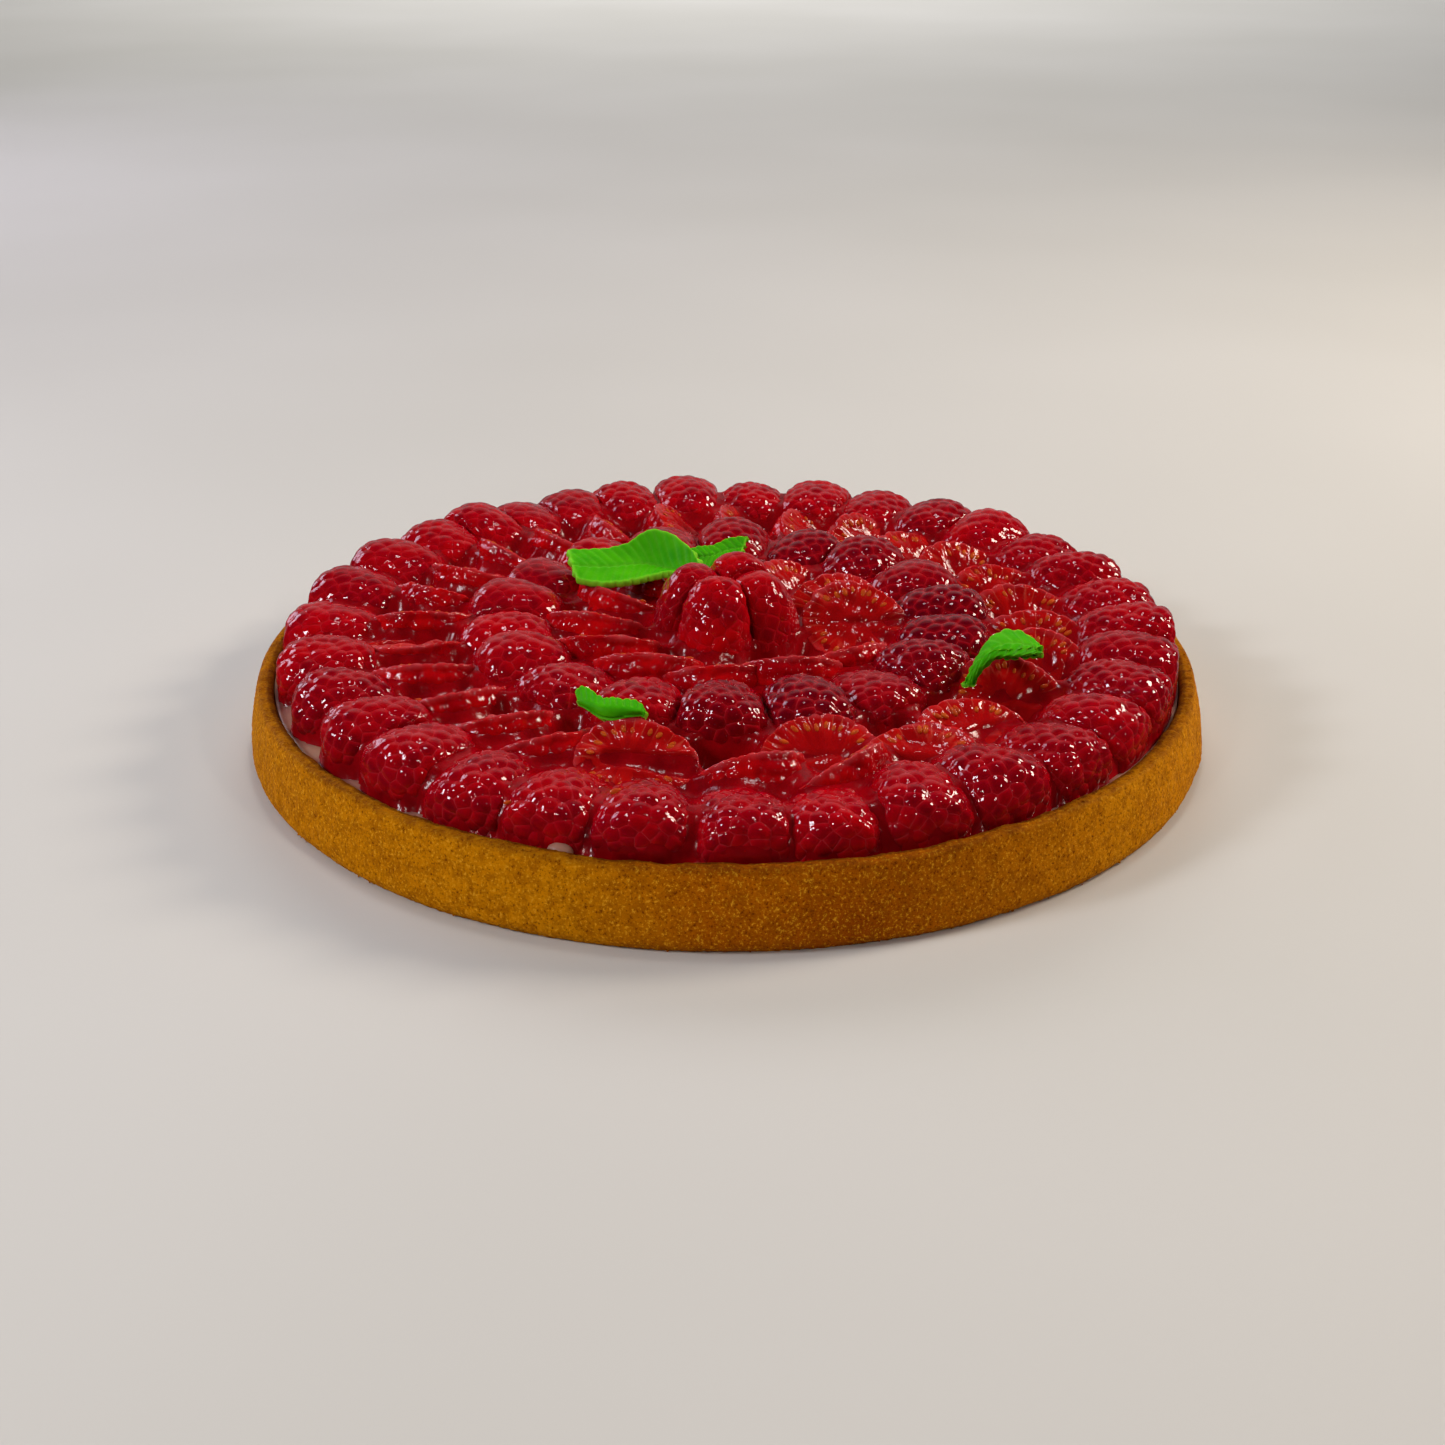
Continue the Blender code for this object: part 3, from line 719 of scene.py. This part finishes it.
def turned(points, around):
    # (radius, height) points turned round the tart's axis: a grid rolled up, its seam and poles closed
    shape = bmesh.new()
    bmesh.ops.create_grid(shape, x_segments=around, y_segments=len(points) - 1, size=0.5)
    mesh = meshOf(shape, "turned")
    flat = pointsOf(mesh)[:, :2] + 0.5
    angle = np.rint(flat[:, 0] * around) % around * math.tau / around
    radius, height = np.array(points)[np.rint(flat[:, 1] * (len(points) - 1)).astype(int)].T
    writeShape(mesh, np.stack([radius * np.cos(angle), radius * np.sin(angle), height], 1))
    shape = bmesh.new()
    shape.from_mesh(mesh)
    bpy.data.meshes.remove(mesh)
    bmesh.ops.remove_doubles(shape, verts=shape.verts[:], dist=1e-6)
    bmesh.ops.recalc_face_normals(shape, faces=shape.faces[:])
    return shape


def addCase():
    shape = turned(caseProfile(), case["around"])
    top = case["height"] * mm
    for vert in shape.verts:
        radius = vert.co.xy.length
        if radius < case["wallFrom"]:
            continue
        outward = Vector((vert.co.x, vert.co.y, 0)) / radius
        wide = noise.noise(vert.co * 38)
        mid = noise.noise(vert.co * 160 + Vector((3, 1, 7)))
        fine = noise.noise(vert.co * 900) + 0.6 * noise.noise(vert.co * 2100)
        nearTop = min(1, max(0, (vert.co.z - 0.82 * top) / (0.18 * top)))
        onFloor = vert.co.z < 0.00001
        nearFoot = max(0, 1 - vert.co.z / case["ragged"])
        push = nearFoot * (0.0004 * mid + 0.0005 * fine)
        push -= 0.00035 * (wide + 0.4) + 0.00022 * (mid + 0.3) + 0.00016 * (fine + 0.5)
        if radius > case["outsideFrom"]:
            vert.co += outward * push
        if not onFloor:
            vert.co.z += nearTop * (0.0006 * wide + 0.00045 * mid + 0.00022 * fine - 0.0002)
        if nearTop > 0.3 and radius < case["outsideFrom"]:
            vert.co -= outward * 0.0003 * mid
    return addPiece("bakedCase", meshOf(shape, "case"), bakedShortcrust(), ["crust"])


def bakedShortcrust():
    # Sweet shortcrust baked in a steel ring: golden ochre, sandy, with pale sugar specks and pin holes,
    # and toasted brown along its rim
    material, add, place, colour = startMaterial("bakedShortcrust", {
        "Roughness": 0.62, "IOR": 1.45, "Subsurface Weight": 0.12, "Subsurface Scale": 0.0015,
        "Subsurface Radius": (1.0, 0.5, 0.2), "Specular IOR Level": 0.03,
    }, (26.0, 3.0, (0.35, "#a64e00"), (0.65, "#c06600")))
    # browned unevenly over 3 mm, with a sandy grain of 0.7 mm
    mid = add("TexNoise", {"Scale": 360.0, "Detail": 4.0, "Roughness": 0.65}, place)[0]
    grain = add("TexNoise", {"Scale": 1400.0, "Detail": 3.0, "Roughness": 0.7}, place)[0]
    parts = add("SeparateXYZ", links=place)
    across = add("MapRange", {1: -0.12, 2: 0.12}, parts[0])[0]
    # painted light: the case is painted lighter at the left and the right, where the light falls on it,
    # and not in the middle
    paintedSideLight = add("ValToRGB", {"stops": (
        (0.0, 0.55), (0.36, 0.75), (0.48, 0.0), (0.66, 0.0), (0.77, 0.35), (0.88, 0.8), (1.0, 0.6),
    )}, across)[0]
    dusk = add("MapRange", {1: 0.36, 2: 0.58, 3: 0.6, 4: 0.0}, mid)[0]
    specks = add("MapRange", {1: 0.55, 2: 0.66}, grain)[0]
    pits = add("MapRange", {1: 0.33, 2: 0.44, 3: 0.9, 4: 0.0}, grain)[0]
    flat = add("VectorMath", {"operation": "MULTIPLY", 1: (1, 1, 0)}, place)[0]
    radius = add("VectorMath", {"operation": "LENGTH"}, flat)["Value"]
    inner = add("MapRange", {1: 0.1188, 2: 0.1172}, radius)[0]
    toasted = add("MapRange", {1: 0.0174, 2: 0.0191, 4: 0.7}, parts[2])[0]
    toasted = add("Math", {"operation": "MAXIMUM"}, {0: toasted, 1: inner})[0]
    uneven = add("MapRange", {1: 0.3, 2: 0.7, 3: 1.0, 4: 0.6}, mid)[0]
    toasted = add("Math", {"operation": "MULTIPLY"}, {0: toasted, 1: uneven})[0]
    for share, tone in (
        (paintedSideLight, "#e09200"), (dusk, "#985000"), (specks, "#e8a420"), (pits, "#703400"),
        (toasted, "#5c2804"),
    ):
        colour = add("Mix", {"data_type": "RGBA", 7: tone}, {0: share, 6: colour})[2]
    rough = add("Mix", {0: 0.5}, {2: mid, 3: grain})[0]
    bump = add("Bump", {"Strength": 0.8, "Distance": 0.0005}, {"Height": rough})[0]
    return finishMaterial(material, {"Base Color": colour, "Normal": bump})


crumb = {"count": 260, "onRim": 0.3, "smallest": 0.35, "largest": 0.95, "seed": 12}


def addCrumbs(wall):
    # small crumbs of the crust, stuck along its foot and on its rim
    random = np.random.default_rng(crumb["seed"])
    points = pointsOf(wall.data) / mm
    radius = np.hypot(points[:, 0], points[:, 1])
    foot = points[(radius > 119) & (points[:, 2] < 0.9)]
    rim = points[(radius > 116.5) & (radius < 119.8) & (points[:, 2] > 18.2)]
    single = bmesh.new()
    bmesh.ops.create_icosphere(single, subdivisions=1, radius=0.5)
    grain = meshOf(single, "crumb")
    ways = pointsOf(grain)
    shape = bmesh.new()
    for number in range(crumb["count"]):
        among = rim if random.uniform() < crumb["onRim"] else foot
        spot = among[random.integers(len(among))].copy()
        size = crumb["smallest"] + (crumb["largest"] - crumb["smallest"]) * random.uniform() ** 2
        if among is foot:
            spot[2] = 0.6 * size + random.uniform(0, 0.5)
        lumpy = ways * (1 + random.uniform(-0.35, 0.2, (len(ways), 1)))
        lumpy *= size * random.uniform(0.7, 1, 3)
        writeShape(grain, lumpy + spot)
        shape.from_mesh(grain)
    return addPiece("crumbs", meshOf(shape, "crumbs"), wall.data.materials[0])


addCrumbs(addCase())
print("tart: case and crumbs")


# Pastry cream, and the glaze that lies between the fruit
cream = {
    "top": 16.4, "bottom": 4.3, "radius": 115.7, "around": 360,
    "under": 13.2, "openFrom": 86,  # lower under the fruit, in from this radius
    "drop": (-35.3, -109.6, 18.0), "dropReach": (2.9, 1.9, 1.9),  # squeezed up at the front left
}
glaze = {
    "ball": 4.2,  # radius of the rounding that glaze makes where two fruits meet
    "highest": 27,  # the upright fruit in the middle stands clear of it
    "cell": 0.5,  # of the map of heights, which reaches so far from the middle
    "reach": 118,
    "under": 0.5,  # how far the film sinks from that rounding
    "bottom": 12.8, "floor": 15.2, "lastRadius": 115.2,
    "least": 17.6, "leastWithin": 105,  # it hides the cream between the fruit
    "edge": 107.5, "edgeAtFront": 5, "frontDeg": -88, "frontWidthDeg": 42,  # where the film ends
    "lower": 2.4,  # from the edge outwards
    "step": 0.9, "around": 600,
}


def heightsOf(pieces):
    # the highest point of the fruit over each small square of the tart
    cells = int(2 * glaze["reach"] / glaze["cell"]) + 1
    heights = np.full((cells, cells), 13.0)
    for piece in pieces:
        middles = np.zeros(len(piece.data.polygons) * 3)
        piece.data.polygons.foreach_get("center", middles)
        points = np.concatenate([pointsOf(piece.data), middles.reshape(-1, 3)]) / mm
        across = np.rint((points[:, :2] + glaze["reach"]) / glaze["cell"]).astype(int)
        np.maximum.at(heights, (across[:, 0], across[:, 1]), np.minimum(points[:, 2], glaze["highest"]))
    return heights


def filled(heights):
    # what a ball rolled over the fruit can't reach: it is let down on every height, and the highest
    # surface of all its places is then worn down by the same ball
    span = int(glaze["ball"] / glaze["cell"])
    caps = []
    for across in range(-span, span + 1):
        for along in range(-span, span + 1):
            inside = glaze["ball"] ** 2 - (across ** 2 + along ** 2) * glaze["cell"] ** 2
            if inside > 0:
                caps.append(((across, along), math.sqrt(inside)))
    grown = np.full_like(heights, -1000)
    for shift, cap in caps:
        grown = np.maximum(grown, np.roll(heights, shift, (0, 1)) + cap)
    shrunk = np.full_like(heights, 1000)
    for shift, cap in caps:
        shrunk = np.minimum(shrunk, np.roll(grown, shift, (0, 1)) - cap)
    for turn in range(2):
        near = [np.roll(shrunk, shift, (0, 1)) for shift in ((0, 1), (1, 0), (0, -1), (-1, 0))]
        shrunk = 0.4 * shrunk + 0.15 * sum(near)
    return shrunk


def sampled(heights, points):
    # heights between the squares, for points in millimetres
    place = (points + glaze["reach"]) / glaze["cell"]
    low = np.floor(place).astype(int)
    part = place - low
    total = 0
    for across, along in ((0, 0), (1, 0), (0, 1), (1, 1)):
        shares = np.where((across, along), part, 1 - part)
        total += shares.prod(1) * heights[low[:, 0] + across, low[:, 1] + along]
    return total


def addCream():
    points = [(0, cream["bottom"]), (cream["radius"], cream["bottom"])]
    points += [(cream["radius"], cream["top"] - share) for share in (4, 2, 1)]
    points += [(radius, cream["top"]) for radius in np.arange(cream["radius"], cream["openFrom"], -1.0)]
    points += [(cream["openFrom"] - 2, cream["under"]), (0, cream["under"])]
    shape = turned(points, cream["around"])
    for vert in shape.verts:
        if vert.co.z > 0.0162:
            wallward = max(0, 1 - (cream["radius"] * mm - vert.co.xy.length) / 0.002)
            vert.co.z += 0.0008 * wallward ** 2 + 0.0003 * noise.noise(vert.co * 90)
    place = Matrix.Translation(Vector(cream["drop"]) * mm) @ turnBy(-18, "Z")
    place = place @ Matrix.Diagonal((*[part * mm for part in cream["dropReach"]], 1))
    bmesh.ops.create_uvsphere(shape, u_segments=24, v_segments=14, radius=1, matrix=place)
    # Pastry cream under a film of glaze: pale custard tinted pink by the juice
    material = startMaterial("glazedPastryCream", {
        "Roughness": 0.4, "IOR": 1.4, "Subsurface Weight": 0.4, "Subsurface Scale": 0.003,
        "Subsurface Radius": (1.0, 0.6, 0.4), "Coat Weight": 0.35, "Coat Roughness": 0.2,
        "Coat IOR": 1.38, "Specular IOR Level": 0.1,
    }, (90.0, 3.0, (0.35, "#a0645c"), (0.65, "#bc9078")))[0]
    return addPiece("pastryCream", meshOf(shape, "pastryCream"), material, ["cream"])


def addGlaze(pieces):
    surfaceHeights = filled(heightsOf(pieces))
    points = [(0, glaze["bottom"]), (glaze["lastRadius"], glaze["bottom"])]
    points += [(radius, 20) for radius in np.arange(glaze["lastRadius"], 0, -glaze["step"])] + [(0, 20)]
    shape = turned(points, glaze["around"])
    top = [vert for vert in shape.verts if vert.co.z > 0.019]
    places = np.array([vert.co.xy for vert in top]) / mm
    heights = sampled(surfaceHeights, places) - glaze["under"]
    for vert, height in zip(top, heights):
        radius = vert.co.xy.length / mm
        angle = math.degrees(math.atan2(vert.co.y, vert.co.x))
        front = max(0, 1 - abs(angle - glaze["frontDeg"]) / glaze["frontWidthDeg"])
        edge = glaze["edge"] + glaze["edgeAtFront"] * min(1, 2 * front)
        edge += 1.5 * noise.noise(vert.co * 120)
        height -= glaze["lower"] * min(1, max(0, (radius - glaze["edge"] + 0.5) / 5))
        sunk = min(1, max(0, (radius - edge) / 1.5)) if height < 19.5 else 0
        if radius < glaze["leastWithin"]:
            height = max(height, glaze["least"])
        height += 0.25 * noise.noise(vert.co * 130)
        vert.co.z = (height + (glaze["floor"] - height) * sunk) * mm
    # Fruit glaze with raspberry juice in it: dark clear red, smooth and wet
    material, add, place, _ = startMaterial("redFruitGlaze", {
        **wetFruit, "Roughness": 0.3, "Coat Weight": 0.7, "Coat Roughness": 0.17,
    }, (160.0, 3.0, (0.35, "#80000a"), (0.7, "#a4020e")))
    ripple = add("TexNoise", {"Scale": 480.0, "Detail": 2.0, "Roughness": 0.6}, place)[0]
    bump = add("Bump", {"Strength": 0.4, "Distance": 0.0004}, {"Height": ripple})[0]
    finishMaterial(material, {"Coat Normal": bump})
    return addPiece("redGlaze", meshOf(shape, "redGlaze"), material)


addCream()
print("tart: cream")
addGlaze(fruitPieces)
print("tart: glaze")


# Leaves cut and curled from green sugar paste. Each is a sheet stretched over lines that run along it,
# in millimetres, with veins and teeth pressed in so deep
leafMake = {"thick": 1.9, "along": 70, "across": 40}
leaves = {
    "leaf_large": {
        "lines": (
            ((-43.2, 30.7, 35.3), (-37.2, 30.6, 35.5), (-31.5, 29.5, 36.3), (-26.1, 29.8, 37.9),
             (-21.6, 32.9, 40.1), (-16.2, 31.8, 40.2), (-9.9, 23.5, 38.6), (-7.1, 16.3, 36.3)),
            ((-41.7, 21.5, 34.7), (-36.1, 21.2, 34.5), (-30.6, 21.8, 34.3), (-25.6, 23.9, 34.1),
             (-21.2, 25.2, 33.9), (-16.8, 22.4, 33.8), (-12.2, 18.7, 34.3), (-7.7, 15.6, 34.9)),
            ((-39.7, 13.7, 33.1), (-33.8, 11.2, 32.9), (-28.5, 11.6, 32.9), (-24.2, 12.9, 33.1),
             (-20.0, 14.3, 33.7), (-15.8, 15.2, 34.5), (-11.6, 15.2, 34.5), (-8.4, 13.7, 34.5)),
        ),
        "rib": 0.55, "veins": 15, "slant": 3.5, "vein": 0.36, "teeth": 7, "tooth": 0.5,
    },
    "leaf_small": {
        "lines": (
            ((-11.0, 40.7, 31.5), (-7.4, 42.2, 32.1), (-3.6, 41.4, 32.7),
             (0.8, 43.2, 34.1), (6.1, 43.7, 34.5)),
            ((-10.4, 36.2, 30.5), (-7.1, 37.3, 30.7), (-3.6, 37.8, 31.1),
             (0.3, 39.6, 31.9), (4.9, 40.3, 32.5)),
            ((-9.8, 30.3, 29.5), (-6.5, 31.1, 29.5), (-3.5, 31.3, 29.7),
             (-0.6, 32.3, 29.9), (3.0, 34.4, 30.3)),
        ),
        "rib": 0.5, "veins": 9, "slant": 3, "vein": 0.32, "teeth": 6, "tooth": 0.7,
    },
    "leaf_right": {
        "lines": (
            ((56.6, -47.5, 29.6), (57.5, -44.5, 31.4), (59.1, -42.2, 33.4), (62.6, -35.1, 35.4),
             (66.6, -31.0, 36.6), (70.7, -30.8, 36.9), (74.3, -35.0, 36.2), (76.1, -39.2, 35.0)),
            ((56.9, -48.2, 29.4), (57.7, -47.2, 31.8), (59.6, -45.9, 34.6), (62.6, -43.8, 36.8),
             (66.1, -41.6, 37.7), (69.8, -41.1, 37.6), (73.2, -41.2, 36.6), (75.8, -40.6, 35.2)),
            ((57.2, -48.5, 29.0), (58.3, -48.1, 31.4), (60.1, -47.5, 34.0), (63.3, -46.7, 36.2),
             (66.2, -46.9, 36.8), (69.4, -45.8, 36.6), (72.8, -44.1, 36.0), (75.6, -41.4, 35.0)),
            ((58.0, -47.7, 28.4), (59.4, -47.3, 30.4), (61.1, -46.7, 32.6), (64.0, -45.3, 34.6),
             (66.6, -46.0, 35.4), (69.7, -45.4, 35.4), (72.9, -43.4, 35.2), (75.6, -41.0, 34.6)),
        ),
        "rib": 0.34, "veins": 9, "slant": 3, "vein": 0.32, "teeth": 7, "tooth": 1.1,
    },
    "leaf_left": {
        "lines": (
            ((-35.2, -61.3, 33.4), (-33.8, -60.1, 34.6), (-31.7, -60.8, 34.4), (-29.7, -63.3, 33.9),
             (-27.8, -64.8, 33.7), (-26.0, -65.0, 34.0), (-23.7, -65.9, 33.9), (-21.2, -65.9, 33.8),
             (-19.0, -67.9, 33.2), (-18.2, -70.9, 32.2)),
            ((-34.3, -64.1, 32.0), (-32.8, -65.6, 32.8), (-31.2, -66.9, 33.1), (-29.2, -68.7, 33.2),
             (-27.4, -69.5, 33.3), (-25.5, -69.8, 33.3), (-23.2, -70.3, 33.3), (-21.0, -70.7, 33.2),
             (-19.2, -70.6, 32.8), (-18.5, -71.1, 31.8)),
            ((-33.9, -63.9, 31.4), (-32.4, -65.9, 31.4), (-30.9, -68.0, 31.0), (-29.2, -70.0, 30.8),
             (-27.4, -71.0, 30.6), (-25.5, -71.2, 30.6), (-23.3, -70.8, 30.9), (-21.0, -70.4, 31.2),
             (-19.4, -70.3, 31.4), (-18.5, -71.1, 31.4)),
        ),
        "rib": 0.9, "veins": 12, "slant": 0, "vein": 0.36, "teeth": 9, "tooth": 0.6,
        "veined": 0.42, "thick": 1.3,
    },
}


def smoothLine(points, shares):
    # a smooth curve through points, at shares of its length
    points = np.array(points, float)
    points = np.concatenate([2 * points[:1] - points[1:2], points, 2 * points[-1:] - points[-2:-1]])
    place = np.clip(np.asarray(shares), 0, 1) * (len(points) - 3)
    first = np.minimum(place.astype(int), len(points) - 4)
    part = (place - first)[:, None]
    before, start, end, after = (points[first + step] for step in range(4))
    return 0.5 * (
        2 * start + (end - before) * part + (2 * before - 5 * start + 4 * end - after) * part ** 2
        + (3 * start - before - 3 * end + after) * part ** 3
    )


def sugarPaste():
    # Green sugar paste, rolled thin, marked with veins and cut with a cutter: waxy and a little soft
    material, add, place, colour = startMaterial("greenSugarPaste", {
        "Roughness": 0.5, "IOR": 1.45, "Subsurface Weight": 0.3, "Subsurface Scale": 0.0015,
        "Subsurface Radius": (0.4, 1.0, 0.1), "Specular IOR Level": 0.06,
    }, (160.0, 3.0, (0.3, "#309c00"), (0.7, "#4cb600")))
    # the veins are marked lighter, and the edges are painted lighter as a painted highlight
    for layer, tone in (("veinLine", "#58b41c"), ("leafEdge", "#84d82c")):
        share = add("Attribute", {"attribute_name": layer})["Fac"]
        colour = add("Mix", {"data_type": "RGBA", 7: tone}, {0: share, 6: colour})[2]
    grain = add("TexNoise", {"Scale": 900.0, "Detail": 2.0}, place)[0]
    bump = add("Bump", {"Strength": 0.25, "Distance": 0.0003}, {"Height": grain})[0]
    return finishMaterial(material, {"Base Color": colour, "Normal": bump})


def onSheet(leaf, along, across):
    # points of the leaf's sheet, at shares of its length and of its breadth
    lines = np.array([smoothLine(line, along) for line in leaf["lines"]])
    return np.array([smoothLine(lines[:, number], [share])[0] for number, share in enumerate(across)])


def addLeaf(name, material):
    leaf = leaves[name]
    shape = bmesh.new()
    bmesh.ops.create_grid(shape, x_segments=leafMake["along"], y_segments=leafMake["across"], size=0.5)
    mesh = meshOf(shape, name + "Sheet")
    flat = pointsOf(mesh)[:, :2] + 0.5
    along, across = flat.T
    # teeth bite into the leaf at its two long edges
    reachIn = leaf["tooth"] * 0.06 * np.abs((along * leaf["teeth"]) % 1 - 0.3)
    across = np.clip(reachIn + across * (1 - 2 * reachIn), 0, 1)
    points = onSheet(leaf, along, across)
    side = onSheet(leaf, along, across + np.where(across < 0.9, 0.02, -0.02))
    ahead = onSheet(leaf, along + np.where(along < 0.9, 0.02, -0.02), across)
    up = np.cross(side - points, ahead - points)
    up /= np.linalg.norm(up, axis=1)[:, None] + 1e-9
    up *= np.sign(up[:, 2:3]) + (up[:, 2:3] == 0)
    # veins run slantwise from the rib, and fade out before the edges
    fromRib = across - leaf["rib"]
    wave = np.cos(math.tau * (along * leaf["veins"] + leaf["slant"] * np.abs(fromRib)))
    line = np.clip(wave, 0, 1) ** 2 * np.clip((leaf.get("veined", 2) - across) / 0.12, 0, 1)
    ribLine = np.exp(-(fromRib / 0.03) ** 2)
    writeShape(mesh, points - up * leaf["vein"] * (line + 1.2 * ribLine)[:, None])
    mesh.update()
    border = (np.minimum(flat, 1 - flat) * (leafMake["along"], leafMake["across"])).min(1)
    # painted highlight: the leaf is painted lighter along its edges, where its rounded rim catches the
    # light
    writePoints(mesh, "leafEdge", np.clip(1 - border / 2.2, 0, 1))
    writePoints(mesh, "veinLine", np.clip(0.6 * line + 0.8 * ribLine, 0, 1) * np.clip(border / 2, 0, 1))
    if mesh.polygons[len(mesh.polygons) // 2].normal.z < 0:
        mesh.flip_normals()
    piece = addPiece(name + "Paste", mesh, material, [name])
    wall = piece.modifiers.new("thickness", "SOLIDIFY")
    wall.thickness = leaf.get("thick", leafMake["thick"]) * mm
    wall.offset = -1
    soft = piece.modifiers.new("softEdges", "SUBSURF")
    soft.levels = soft.render_levels = 1
    return piece


leafPaste = sugarPaste()
for name in leaves:
    addLeaf(name, leafPaste)
print("tart: leaves")


# A plain pale floor, soft light from behind and both sides, and small lamps that the glaze mirrors.
# Each lamp has its place, its size in metres, its watts and its colour
lamps = {
    "softRoom": ((0.15, 0.1, 1.2), 1.6, 1.4, "#ffffff"),
    "windowRight": ((0.85, 0.3, 0.6), 0.3, 6.2, "#fff2e0"),
    "windowLeft": ((-0.8, -0.3, 0.6), 0.22, 4.0, "#f6f8ff"),
    "overhead": ((0.05, 0.2, 1.1), 0.18, 1.6, "#ffffff"),
    "paleLeft": ((-0.9, 0.8, 0.5), 0.5, 3.0, "#e8e4ff"),
    "sparkleLeft": ((-0.5, -0.8, 0.6), 0.08, 1.0, "#fff6ee"),
    "sparkleRight": ((0.55, -0.6, 0.6), 0.08, 1.0, "#fff2e6"),
    "backdrop": ((0, 2.4, 1.5), 1.5, 34.0, "#ffffff"),
}
lampAims = {"backdrop": (0, 2.2, 0)}  # the others point at the tart
unmirrored = ("softRoom", "backdrop")


def addStage():
    shape = bmesh.new()
    bmesh.ops.create_grid(shape, x_segments=4, y_segments=4, size=8)
    ground = addObject("floor", meshOf(shape, "floor"))
    # Studio floor: pale, matt paint
    ground.data.materials.append(startMaterial(
        "paleFloorPaint", {"Roughness": 0.7, "Specular IOR Level": 0.3},
        (3.0, 2.0, (0.3, "#cfccc6"), (0.7, "#d6d3ce")))[0])
    ground.visible_glossy = False
    for name, (place, size, watts, colour) in lamps.items():
        light = bpy.data.lights.new(name, "AREA")
        light.shape = "DISK"
        light.size = size
        light.energy = watts
        light.color = linear(colour)[:3]
        holder = addObject(name, light)
        holder.location = place
        holder.visible_glossy = name not in unmirrored
        aim = Vector(lampAims.get(name, (0, 0, 0.02))) - Vector(place)
        holder.rotation_euler = aim.to_track_quat("-Z", "Y").to_euler()
    # Light all round, as the glaze mirrors it: pale from behind, dark from above and in front
    world = bpy.data.worlds.new("paleRoom")
    world.use_nodes = True
    add = partial(addNode, world.node_tree)
    parts = add("SeparateXYZ", links=add("TexCoord")["Generated"])
    behind = add("MapRange", {1: 0.55, 2: 0.85, 3: 0.02, 4: 0.3}, parts[1])[0]
    background = world.node_tree.nodes["Background"].inputs
    world.node_tree.links.new(behind, background["Strength"])
    background["Color"].default_value = linear("#eef0f2")
    bpy.context.scene.world = world
    bpy.context.scene.view_settings.view_transform = "Standard"


view = {  # as the photo was taken, 0.53 m from the tart's middle
    "at": (-0.00097, -0.48240, 0.21991), "downDeg": 24.7647,
    "focal": 2000 / 1445,  # in widths of the picture
}


def addCamera():
    camera = bpy.data.cameras.new("camera")
    camera.sensor_width = 36
    camera.lens = view["focal"] * camera.sensor_width
    camera.clip_start = 0.01
    holder = addObject("camera", camera)
    holder.location = view["at"]
    holder.rotation_euler = (math.radians(90 - view["downDeg"]), 0, 0)
    bpy.context.scene.camera = holder


addStage()
addCamera()
print("tart: stage, lights and camera")
